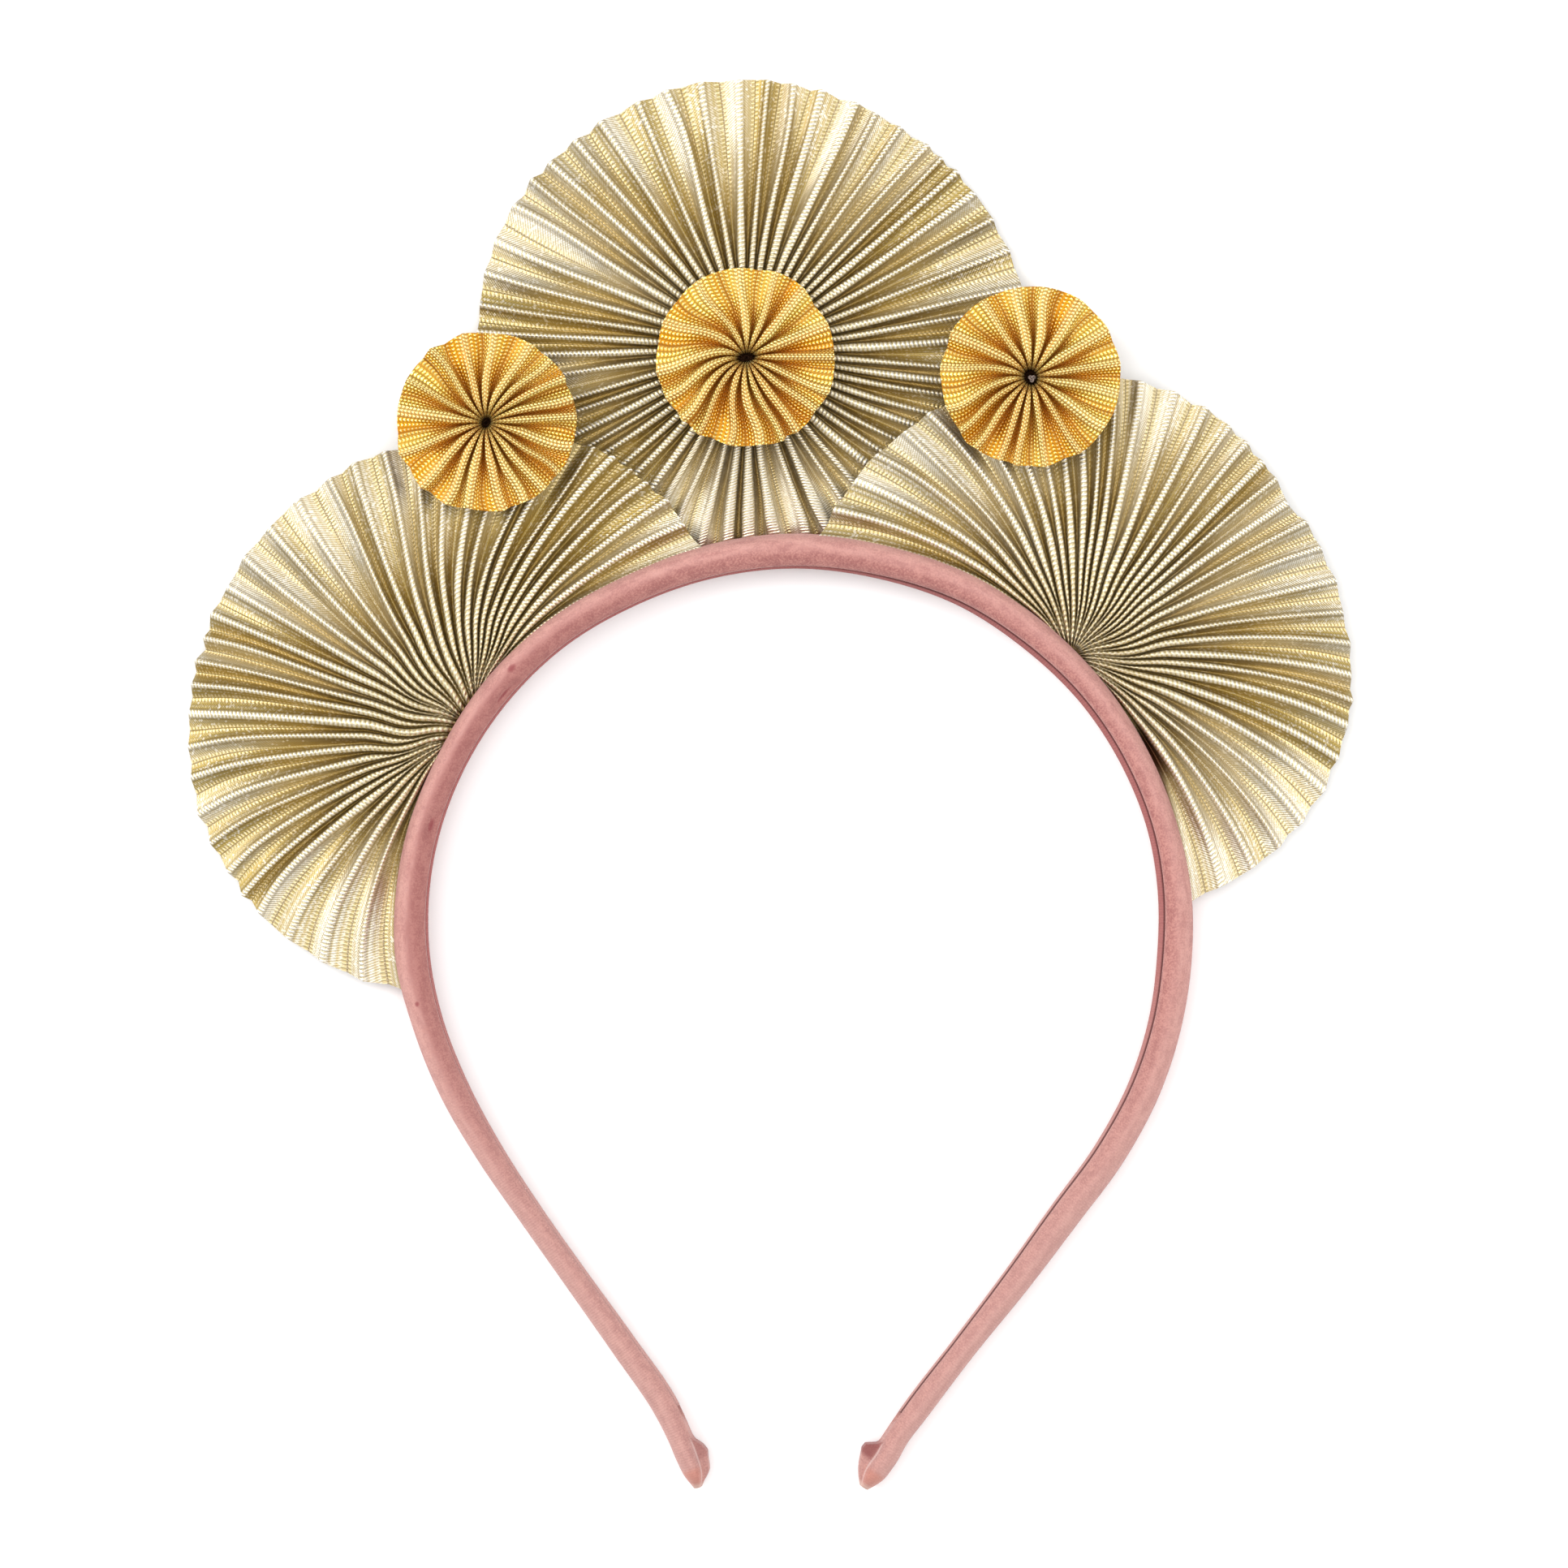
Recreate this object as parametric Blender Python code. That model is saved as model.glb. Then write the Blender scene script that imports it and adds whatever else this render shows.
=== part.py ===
"""A fan headband: a velvet-covered horseshoe band with a lining strip, three pleated fans of pale
gold lame and three small pleated ribbon rosettes, each one solid. The headband lies on its back
with its front up: +Z is the front, +Y the crown, and the origin is on the surface that it lies
on, under the middle of its outline. Sizes are in millimetres and MM turns them into metres."""

import math
from collections import namedtuple

import bmesh
import bpy
import numpy as np
from mathutils import Vector

MM = 0.001
GAP = 0.3  # kept between neighbouring pieces
CLOTH = 1.0  # the least wall of a pleated piece

# The band: its centre line on each side of its own axis, from beside the crown to the tips
BAND_AXIS = 3.6
CROWN_Y = 36.5
CROWN_THICK = 5.3
CROWN_DEEP = 9.0
BandRow = namedtuple("BandRow", "y left right thick_left thick_right deep")
BAND = [
    BandRow(34.7, 13.6, 14.3, 5.1, 5.3, 9.0),
    BandRow(30.3, 25.6, 27.0, 4.8, 5.3, 9.0),
    BandRow(23.7, 37.0, 37.1, 4.8, 5.2, 8.9),
    BandRow(13.5, 47.3, 47.4, 4.7, 4.8, 8.8),
    BandRow(3.4, 53.6, 53.8, 4.5, 4.7, 8.7),
    BandRow(-6.8, 57.7, 57.8, 4.8, 4.7, 8.6),
    BandRow(-16.9, 59.6, 59.7, 5.0, 5.2, 8.5),
    BandRow(-27.1, 59.6, 59.7, 5.2, 5.4, 8.3),
    BandRow(-37.2, 57.3, 58.3, 4.7, 5.2, 8.1),
    BandRow(-47.4, 53.3, 55.1, 4.6, 5.1, 7.9),
    BandRow(-57.5, 47.7, 49.8, 4.2, 5.0, 7.7),
    BandRow(-67.7, 40.9, 42.4, 3.8, 4.8, 7.4),
    BandRow(-77.9, 33.7, 34.9, 3.8, 4.4, 7.2),
    BandRow(-88.0, 26.5, 27.0, 4.0, 3.9, 7.0),
    BandRow(-98.2, 19.6, 19.2, 4.0, 4.0, 6.9),
    BandRow(-102.2, 17.7, 16.3, 3.8, 3.8, 6.8),
    BandRow(-105.5, 16.3, 14.3, 3.8, 4.0, 6.8),
    BandRow(-108.3, 15.3, 12.3, 3.0, 3.5, 6.4),
    BandRow(-110.2, 14.9, 11.1, 1.2, 1.4, 5.8),
]
BAND_STEPS = 46  # evenly spaced stations between the folded tips
NUDGE = 0.2  # step along the band that its direction is read from
EDGE_STEPS = 1201  # places at which the band's outer edge is known
TIP_LENGTH = 9.0
# The velvet is folded over at each end, and stands out on the inner side
TipRow = namedtuple("TipRow", "from_end left right")
TIP_FOLD = [
    TipRow(0.0, 0.1, 0.1),
    TipRow(0.9, 0.3, 0.4),
    TipRow(2.2, 0.9, 0.7),
    TipRow(3.6, 1.0, 1.2),
    TipRow(4.9, 1.3, 1.8),
    TipRow(6.0, 0.9, 1.7),
    TipRow(7.2, 0.1, 0.1),
    TipRow(8.0, 0.0, 0.0),
]
# The band's section: across from -1, the inner edge, to 1, the outer; up from the back to the front
ProfilePoint = namedtuple("ProfilePoint", "across up")
ROUND_SIDE = [
    ProfilePoint(-0.55, 0.0),
    ProfilePoint(0.45, 0.0),
    ProfilePoint(0.90, 0.13),
    ProfilePoint(1.00, 0.40),
    ProfilePoint(0.90, 0.72),
    ProfilePoint(0.52, 0.94),
    ProfilePoint(0.02, 1.00),
    ProfilePoint(-0.48, 0.93),
]
# The inner side leans back towards the front edge, most on the right, so that it shows from there
LEAN_CROWN = 0.55
LEAN_MORE = 0.40
LEAN_REACH = 60.0

# The lining lies in a recess of the inner side
LINING_WALL = 0.5
LINING_LOW = 0.13
LINING_HIGH = 0.76
LINING_STOP = 13.0  # bare velvet between the lining and each end
RECESS_FADE = 2.5
RECESS_LEAST = 0.08

# The three lame fans
FOLD = 2.6  # width of the cloth between two fold lines
STEEPEST = 1.2  # slope of a pleat's sides, past which the pleats lie packed
LEAST_RISE = 0.25  # a pleat's least height, as a share of the fold
RIM_OUT = 0.15  # how far a ridge reaches past the groove beside it, at the rim
RimPoint = namedtuple("RimPoint", "angle radius")
Fan = namedtuple("Fan", "x y z tilt_x tilt_y pleats rings rim")
HUB = 2.4  # radius of the hole at the middle fan's centre
FAN_SEAM = -90  # direction, in degrees, in which the round fan's cloth is joined
CROWN_REACH = 45.0  # stretch of band on each side of the crown that can meet the round fan
SEAM = 1e-4  # points closer than this are one point
FAN_CENTER = Fan(
    -3.4, 68.0, 2.3, 0.0, 0.0, 56, 5,
    [
        RimPoint(-90, 42.4),
        RimPoint(-10, 43.6),
        RimPoint(14, 43.8),
        RimPoint(54, 42.1),
        RimPoint(90, 42.4),
        RimPoint(126, 42.4),
        RimPoint(150, 43.1),
        RimPoint(180, 42.5),
        RimPoint(270, 42.4),
    ],
)
FAN_LEFT = Fan(
    -47.1, 9.5, 4.4, 0.020, 0.028, 35, 6,
    [
        RimPoint(39, 45.6),
        RimPoint(50, 46.8),
        RimPoint(63, 47.2),
        RimPoint(106, 44.3),
        RimPoint(130, 43.6),
        RimPoint(170, 43.6),
        RimPoint(202, 44.5),
        RimPoint(226, 44.3),
        RimPoint(255, 43.0),
    ],
)
FAN_RIGHT = Fan(
    47.7, 20.9, 4.4, -0.025, 0.023, 35, 6,
    [
        RimPoint(-64, 43.2),
        RimPoint(-42, 44.5),
        RimPoint(-18, 44.4),
        RimPoint(14, 42.1),
        RimPoint(34, 40.7),
        RimPoint(62, 43.0),
        RimPoint(100, 43.5),
        RimPoint(152, 43.6),
    ],
)
GATHER_LEFT = 13.0  # length of band that each side fan's folds are gathered on
GATHER_RIGHT = 8.0
RING_CROWDING = 1.25  # over 1, the rings stand closer together near the gather

# The rosettes
ROSETTE_FOLD = 2.2
ROSETTE_PLEATS = 22
ROSETTE_RADIUS = 14.2
ROSETTE_HUB = 0.9
ROSETTE_RINGS = 4
ROSETTE_DIMPLE = 0.9  # how far the middle is drawn in, within the reach below
DIMPLE_REACH = 2.3
Rosette = namedtuple("Rosette", "name x y z turn")
ROSETTES = [
    Rosette("rosette_left", -44.3, 56.4, 8.6, 4.0),
    Rosette("rosette_center", -3.7, 66.7, 6.25, 0.0),
    Rosette("rosette_right", 40.7, 63.5, 8.6, 9.0),
]

VELVET_COLOR = (0.72, 0.30, 0.29, 1.0)
LINING_COLOR = (0.55, 0.24, 0.23, 1.0)
LAME_COLOR = (0.62, 0.53, 0.30, 1.0)
RIBBON_COLOR = (0.85, 0.52, 0.10, 1.0)


def clear_scene():
    for obj in list(bpy.data.objects):
        bpy.data.objects.remove(obj, do_unlink=True)


def make_material(name, color, roughness, metallic):
    material = bpy.data.materials.new(name)
    material.use_nodes = True
    shader = material.node_tree.nodes["Principled BSDF"]
    shader.inputs["Base Color"].default_value = color
    shader.inputs["Roughness"].default_value = roughness
    shader.inputs["Metallic"].default_value = metallic
    return material


def finish(bm, name, material, collection, sharp_deg=50):
    """Turns the finished bmesh, in millimetres, into an object of the collection."""
    bmesh.ops.recalc_face_normals(bm, faces=bm.faces[:])
    bmesh.ops.scale(bm, vec=(MM, MM, MM), verts=bm.verts[:])
    mesh = bpy.data.meshes.new(name)
    bm.to_mesh(mesh)
    bm.free()
    mesh.materials.append(material)
    mesh.shade_smooth()
    mesh.set_sharp_from_angle(angle=math.radians(sharp_deg))
    obj = bpy.data.objects.new(name, mesh)
    collection.objects.link(obj)
    return obj


def smooth_through(rows, knots, at):
    """Reads the rows, one at each knot, at the places AT of a smooth curve through them."""
    slopes = np.gradient(rows, knots, axis=0)
    i = np.clip(np.searchsorted(knots, at) - 1, 0, len(knots) - 2)
    step = (knots[i + 1] - knots[i])[:, None]
    t = (at - knots[i])[:, None] / step
    start = (2 * t**3 - 3 * t**2 + 1) * rows[i] + (t**3 - 2 * t**2 + t) * slopes[i] * step
    end = (3 * t**2 - 2 * t**3) * rows[i + 1] + (t**3 - t**2) * slopes[i + 1] * step
    return start + end


def band_rows():
    """Every row of the band from the left tip over the crown to the right tip, and its place
    along the band, measured from the crown."""
    left = [(BAND_AXIS - row.left, row.y, row.thick_left, row.deep) for row in reversed(BAND)]
    crown = [(BAND_AXIS, CROWN_Y, CROWN_THICK, CROWN_DEEP)]
    right = [(BAND_AXIS + row.right, row.y, row.thick_right, row.deep) for row in BAND]
    rows = np.array(left + crown + right)
    steps = np.hypot(np.diff(rows[:, 0]), np.diff(rows[:, 1]))
    along = np.concatenate([[0.0], np.cumsum(steps)])
    return rows, along - along[len(left)]


ROWS, ALONG = band_rows()
LEFT_END, RIGHT_END = ALONG[0], ALONG[-1]
Stations = namedtuple("Stations", "x y out_x out_y thick deep")


def band_at(along):
    """The band's centre line, outward direction, thickness and depth at places along it."""
    x, y, thick, deep = smooth_through(ROWS, ALONG, along).T
    ahead = smooth_through(ROWS, ALONG, np.minimum(along + NUDGE, RIGHT_END))
    behind = smooth_through(ROWS, ALONG, np.maximum(along - NUDGE, LEFT_END))
    run_x, run_y = (ahead - behind)[:, :2].T
    run = np.hypot(run_x, run_y)
    return Stations(x, y, -run_y / run, run_x / run, thick, deep)


def band_lean(station_x):
    """How far the inner side leans back at its front edge."""
    return LEAN_CROWN + LEAN_MORE * (station_x - BAND_AXIS) / LEAN_REACH


def outer_edge(along):
    """The line just outside the band, where the fans meet it, seen from the front."""
    at = band_at(along)
    away = at.thick / 2 + GAP
    return np.stack([at.x + at.out_x * away, at.y + at.out_y * away], axis=-1)


EDGE_ALONG = np.linspace(LEFT_END, RIGHT_END, EDGE_STEPS)
EDGE = outer_edge(EDGE_ALONG)


def band_section(half, deep, lean, recess, tucked):
    """The velvet's section: round outside and in front, with the lining's recess inside. TUCKED
    is how far a tip's folded velvet stands out on the inner side."""
    low, high = LINING_LOW * deep, LINING_HIGH * deep
    inner = -half - tucked
    points = []
    for across, up in ROUND_SIDE:
        points.append((across * (half if across > 0 else half + tucked), up * deep))
    points += [
        (inner + lean * LINING_HIGH, high),
        (inner + lean * LINING_HIGH + recess, high),
        (inner + lean * LINING_LOW + recess, low),
        (inner + lean * LINING_LOW, low),
    ]
    return points


def lining_section(half, deep, lean):
    """The lining's section, clear of the recess all round."""
    low, high = LINING_LOW * deep + GAP, LINING_HIGH * deep - GAP
    low_side = -half + lean * LINING_LOW
    high_side = -half + lean * LINING_HIGH
    return [
        (low_side, low),
        (high_side, high),
        (high_side + LINING_WALL, high),
        (low_side + LINING_WALL, low),
    ]


def loft(bm, rings):
    """Joins rings of the same number of points into one skin, closed at both ends."""
    loops = [[bm.verts.new(point) for point in ring] for ring in rings]
    for one, two in zip(loops, loops[1:]):
        edges = []
        for loop in (one, two):
            for i, vert in enumerate(loop):
                edges.append(bm.edges.get((vert, loop[i - 1])) or bm.edges.new((vert, loop[i - 1])))
        bmesh.ops.bridge_loops(bm, edges=edges)
    bm.faces.new(loops[0])
    bm.faces.new(loops[-1])


def placed(at, i, section):
    """One section in space at the band's station I."""
    return [
        (at.x[i] + at.out_x[i] * across, at.y[i] + at.out_y[i] * across, up)
        for across, up in section
    ]


def make_headband(collection):
    tips = np.array([row.from_end for row in TIP_FOLD])
    middle = np.linspace(LEFT_END + TIP_LENGTH, RIGHT_END - TIP_LENGTH, BAND_STEPS)
    along = np.concatenate([LEFT_END + tips, middle, (RIGHT_END - tips)[::-1]])
    at = band_at(along)
    from_end = np.minimum(along - LEFT_END, RIGHT_END - along)
    fold_left = np.interp(from_end, tips, [row.left for row in TIP_FOLD])
    fold_right = np.interp(from_end, tips, [row.right for row in TIP_FOLD])
    tucked = np.where(along < 0, fold_left, fold_right)
    covered = np.clip((from_end - LINING_STOP + GAP + RECESS_FADE) / RECESS_FADE, 0, 1)
    recess = RECESS_LEAST + covered * (LINING_WALL + GAP - RECESS_LEAST)
    lean = band_lean(at.x)
    rings = [
        placed(at, i, band_section(at.thick[i] / 2, at.deep[i], lean[i], recess[i], tucked[i]))
        for i in range(len(along))
    ]
    bm = bmesh.new()
    loft(bm, rings)
    material = make_material("velvet", VELVET_COLOR, 0.9, 0.0)
    return finish(bm, "headband", material, collection)


def make_lining(collection):
    along = np.linspace(LEFT_END + LINING_STOP, RIGHT_END - LINING_STOP, BAND_STEPS)
    at = band_at(along)
    lean = band_lean(at.x)
    rings = [
        placed(at, i, lining_section(at.thick[i] / 2, at.deep[i], lean[i]))
        for i in range(len(along))
    ]
    bm = bmesh.new()
    loft(bm, rings)
    material = make_material("lining", LINING_COLOR, 0.8, 0.0)
    return finish(bm, "band_lining", material, collection)


def rim_line(fan, angle):
    """The fan's rim, seen from the front, in directions in degrees."""
    radius = np.interp(angle, [point.angle for point in fan.rim], [point.radius for point in fan.rim])
    return around(fan, angle, radius)


def around(middle, angle, radius):
    """Places at angles, in degrees, and distances from a middle that has an x and a y."""
    turn = np.radians(angle)
    return np.stack([middle.x + radius * np.cos(turn), middle.y + radius * np.sin(turn)], axis=-1)


def distance_and_angle(middle, places):
    away = places - np.array([middle.x, middle.y])
    angle = np.degrees(np.unwrap(np.arctan2(away[:, 1], away[:, 0])))
    return np.hypot(away[:, 0], away[:, 1]), angle


def plan_center(fan):
    """Where each fold line of the full round fan runs: plan[fold line, ring] is x and y. The
    folds that meet the crown of the band end there."""
    angle = np.linspace(FAN_SEAM, FAN_SEAM + 360, 2 * fan.pleats + 1)
    from_below = np.where(angle > FAN_SEAM + 180, angle - 360, angle)
    crown = np.abs(EDGE_ALONG) < CROWN_REACH
    to_band, band_angle = distance_and_angle(fan, EDGE[crown])
    to_band = np.interp(from_below, band_angle, to_band, left=np.inf, right=np.inf)
    to_rim, _ = distance_and_angle(fan, rim_line(fan, angle))
    reach = np.minimum(to_rim, to_band)
    share = np.linspace(0, 1, fan.rings + 1)
    radius = HUB + (reach[:, None] - HUB) * share
    return around(fan, angle[:, None], radius)


def meeting_place(fan, side):
    """How far along the band the fan's rim meets it, going from the gather to one side."""
    away, angle = distance_and_angle(fan, EDGE[side])
    angle = np.where(angle < FAN_SEAM, angle + 360, angle)
    rim, _ = distance_and_angle(fan, rim_line(fan, angle))
    return EDGE_ALONG[side][int(np.argmax(away > rim))]


def plan_side(fan, gather):
    """The same for a side fan: a patch between the stretch of band that it is gathered on and
    its rim. The two other sides of the patch, its first and last fold, lie along the band."""
    foot = int(np.argmin(distance_and_angle(fan, EDGE)[0]))
    start, end = meeting_place(fan, slice(foot, None)), meeting_place(fan, slice(foot, None, -1))
    from_, to = EDGE_ALONG[foot] + gather / 2, EDGE_ALONG[foot] - gather / 2
    u = np.linspace(0, 1, 2 * fan.pleats + 1)
    v = np.linspace(0, 1, fan.rings + 1) ** RING_CROWDING
    base = outer_edge(from_ + (to - from_) * u)
    first = outer_edge(from_ + (start - from_) * v)
    last = outer_edge(to + (end - to) * v)
    _, corner = distance_and_angle(fan, np.stack([first[-1], last[-1]]))
    sweep = (corner[1] - corner[0]) % 360
    rim = rim_line(fan, corner[0] + sweep * u)
    rim[0], rim[-1] = first[-1], last[-1]
    u, v = u[:, None, None], v[None, :, None]
    from_base = (1 - v) * base[:, None] + v * rim[:, None]
    from_sides = (1 - u) * first[None] + u * last[None]
    flat = (1 - v) * ((1 - u) * first[0] + u * last[0]) + v * ((1 - u) * first[-1] + u * last[-1])
    return from_base + from_sides - flat


def plan_rosette(rosette):
    """The same for a small round rosette."""
    angle = rosette.turn + np.linspace(0, 360, 2 * ROSETTE_PLEATS + 1)
    radius = np.linspace(ROSETTE_HUB, ROSETTE_RADIUS, ROSETTE_RINGS + 1)
    return around(rosette, angle[:, None], radius)


def pleat_heights(plan, fold):
    """Half the height of the pleated stack, and the depth of its grooves, at every place."""
    step = np.linalg.norm(np.diff(plan, axis=0), axis=-1)
    half_pitch = (np.vstack([step[:1], step]) + np.vstack([step, step[-1:]])) / 2
    rise = np.sqrt(np.maximum(fold**2 - half_pitch**2, (LEAST_RISE * fold) ** 2))
    groove = np.minimum(rise, STEEPEST * half_pitch)
    return (rise + CLOTH) / 2, groove


def pleated(name, plan, middle_z, fold, closed, material, collection):
    """A pleated sheet with its folds up at even fold lines: the front has grooves between the
    ridges, the back has grooves under them, and both lie round the middle height."""
    lines, rings = plan.shape[0] - 1, plan.shape[1] - 1
    half, groove = pleat_heights(plan, fold)
    at_band = [np.hypot(*(EDGE - end).T).min() < 2 * GAP for end in plan[:, rings]]
    bm = bmesh.new()
    bmesh.ops.create_grid(bm, x_segments=lines, y_segments=rings, size=0.5)
    line_layer = bm.verts.layers.int.new("line")
    ring_layer = bm.verts.layers.int.new("ring")
    for vert in bm.verts:
        i = round((vert.co.x + 0.5) * lines)
        j = round((vert.co.y + 0.5) * rings)
        vert[line_layer], vert[ring_layer] = i, j
        vert.co = (plan[i, j, 0], plan[i, j, 1], 0.0)
    if closed:
        bmesh.ops.remove_doubles(bm, verts=bm.verts[:], dist=SEAM)
    made = bmesh.ops.extrude_face_region(bm, geom=bm.faces[:])
    front = {item for item in made["geom"] if isinstance(item, bmesh.types.BMVert)}
    for vert in bm.verts:
        i, j = vert[line_layer], vert[ring_layer]
        is_ridge = i % 2 == 0
        middle = middle_z(vert.co.x, vert.co.y)
        if vert in front:
            vert.co.z = middle + half[i, j] - (0 if is_ridge else groove[i, j])
        else:
            vert.co.z = middle - half[i, j] + (groove[i, j] if is_ridge else 0)
        if j == rings and is_ridge and not at_band[i]:
            outward = plan[i, j] - plan[i, j - 1]
            vert.co.xy += Vector(outward).normalized() * RIM_OUT
    return finish(bm, name, material, collection, sharp_deg=15)


def make_fans(collection):
    lame = make_material("lame", LAME_COLOR, 0.35, 0.8)
    fans = [
        ("fan_center", FAN_CENTER, plan_center(FAN_CENTER), True),
        ("fan_left", FAN_LEFT, plan_side(FAN_LEFT, GATHER_LEFT), False),
        ("fan_right", FAN_RIGHT, plan_side(FAN_RIGHT, GATHER_RIGHT), False),
    ]
    for name, fan, plan, closed in fans:

        def middle_z(x, y, fan=fan):
            return fan.z + fan.tilt_x * (x - fan.x) + fan.tilt_y * (y - fan.y)

        pleated(name, plan, middle_z, FOLD, closed, lame, collection)


def make_rosettes(collection):
    ribbon = make_material("ribbon", RIBBON_COLOR, 0.4, 0.7)
    for rosette in ROSETTES:

        def middle_z(x, y, rosette=rosette):
            from_hub = math.hypot(x - rosette.x, y - rosette.y)
            return rosette.z - ROSETTE_DIMPLE * max(0.0, 1 - from_hub / DIMPLE_REACH)

        pleated(rosette.name, plan_rosette(rosette), middle_z, ROSETTE_FOLD, True, ribbon, collection)


def main():
    clear_scene()
    collection = bpy.data.collections.new("fan_headband")
    bpy.context.scene.collection.children.link(collection)
    make_headband(collection)
    make_lining(collection)
    make_fans(collection)
    make_rosettes(collection)


main()
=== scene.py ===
"""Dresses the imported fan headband: velvet over the band, a lining strip inside it, three fans of
pleated gold lame, three rosettes of pleated ribbon and a knot of thread, lying face up on a pale
floor under the camera. Sizes are in millimetres, and MM turns them into metres."""

import math
from collections import namedtuple

import bmesh
import bpy
import numpy as np
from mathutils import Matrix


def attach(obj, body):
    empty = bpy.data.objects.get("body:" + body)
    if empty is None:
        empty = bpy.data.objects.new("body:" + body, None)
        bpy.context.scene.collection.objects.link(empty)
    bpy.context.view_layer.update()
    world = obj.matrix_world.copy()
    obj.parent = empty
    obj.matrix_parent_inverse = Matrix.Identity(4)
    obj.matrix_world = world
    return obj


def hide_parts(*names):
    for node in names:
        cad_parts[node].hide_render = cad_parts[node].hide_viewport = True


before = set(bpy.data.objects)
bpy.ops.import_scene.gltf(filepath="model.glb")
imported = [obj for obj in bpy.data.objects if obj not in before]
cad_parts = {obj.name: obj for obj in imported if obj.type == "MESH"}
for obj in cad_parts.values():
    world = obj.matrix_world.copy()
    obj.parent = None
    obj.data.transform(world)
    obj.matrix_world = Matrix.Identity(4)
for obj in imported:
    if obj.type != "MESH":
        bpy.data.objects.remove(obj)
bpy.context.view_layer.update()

MM = 0.001

# The band's centre line on each side of its own axis, from beside the crown to the tips
BAND_AXIS = 3.6
CROWN_Y = 36.5
CROWN_THICK = 5.3
CROWN_DEEP = 9.0
BandRow = namedtuple("BandRow", "y left right thick_left thick_right deep")
BAND = [
    BandRow(34.7, 13.6, 14.3, 5.1, 5.3, 9.0),
    BandRow(30.3, 25.6, 27.0, 4.8, 5.3, 9.0),
    BandRow(23.7, 37.0, 37.1, 4.8, 5.2, 8.9),
    BandRow(13.5, 47.3, 47.4, 4.7, 4.8, 8.8),
    BandRow(3.4, 53.6, 53.8, 4.5, 4.7, 8.7),
    BandRow(-6.8, 57.7, 57.8, 4.8, 4.7, 8.6),
    BandRow(-16.9, 59.6, 59.7, 5.0, 5.2, 8.5),
    BandRow(-27.1, 59.6, 59.7, 5.2, 5.4, 8.3),
    BandRow(-37.2, 57.3, 58.3, 4.7, 5.2, 8.1),
    BandRow(-47.4, 53.3, 55.1, 4.6, 5.1, 7.9),
    BandRow(-57.5, 47.7, 49.8, 4.2, 5.0, 7.7),
    BandRow(-67.7, 40.9, 42.4, 3.8, 4.8, 7.4),
    BandRow(-77.9, 33.7, 34.9, 3.8, 4.4, 7.2),
    BandRow(-88.0, 26.5, 27.0, 4.0, 3.9, 7.0),
    BandRow(-98.2, 19.6, 19.2, 4.0, 4.0, 6.9),
    BandRow(-102.2, 17.7, 16.3, 3.8, 3.8, 6.8),
    BandRow(-105.5, 16.3, 14.3, 3.8, 4.0, 6.8),
    BandRow(-108.3, 15.3, 12.3, 3.0, 3.5, 6.4),
    BandRow(-110.2, 14.9, 11.1, 1.2, 1.4, 5.8),
]
NUDGE = 0.2  # step along the band that its direction is read from
EDGE_STEPS = 1201
LEGS = (85.0, 150.0)  # distance from the crown over which the band turns into its legs
# How far the band's inner side leans outwards between its back and its front
LEAN_LEFT = 0.08
LEAN_RIGHT = 1.25
LEAN_LEGS = 0.25
LEAN_TURN = (-12.0, 50.0)  # distance along over which the left side's lean becomes the right's

# The velvet and the lining
VELVET_STEPS = 400
VELVET_ROUND = 48
VELVET_GIRTH = 24.0  # length round its section
TIP_LENGTH = 9.0
TIP_STEPS = 30
TIP_CROWDING = 1.3  # above 1, the steps lie closer together towards the ends
# How far the velvet is folded in over the tips' inner side, going from the end
TipRow = namedtuple("TipRow", "from_end left right")
TIP_FOLD = [
    TipRow(0.0, 0.1, 0.1),
    TipRow(0.9, 0.3, 0.4),
    TipRow(2.2, 0.9, 0.7),
    TipRow(3.6, 1.0, 1.2),
    TipRow(4.9, 1.3, 1.8),
    TipRow(6.0, 0.9, 1.7),
    TipRow(7.2, 0.1, 0.1),
    TipRow(8.0, 0.0, 0.0),
]
CREASED = 0.05  # a fold deeper than this has a crease along its edge
TIP_ROUNDING = 2.4  # length over which the tips' back and front edges round off
TIP_BLUNT = 0.12  # square of the depth that is left at the very end, against the whole depth
LINING_LOW = 0.13  # the strip's edges, against the band's depth
LINING_HIGH = 0.76
LINING_WALL = 0.5
LINING_STOP = 13.0  # distance from the tips
LINING_STEPS = 300
GROOVE = 0.3  # between the strip and the velvet
RECESS = 0.06  # of the velvet's inner side where no lining covers it
RECESS_FADE = 2.5
# Places where the velvet is caught: along from the crown, share of the way round, size, depth
Pinch = namedtuple("Pinch", "along round length width depth")
PINCHES = [
    Pinch(-48.5, 0.44, 1.6, 1.2, 0.25),
    Pinch(-52.4, 0.54, 3.0, 0.7, 0.30),
    Pinch(-76.3, 0.52, 2.4, 1.0, 0.35),
    Pinch(-104.8, 0.43, 0.8, 0.8, 0.12),
]

# The lame fans, with their middles, slopes and rims
RimPoint = namedtuple("RimPoint", "angle radius")
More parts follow.
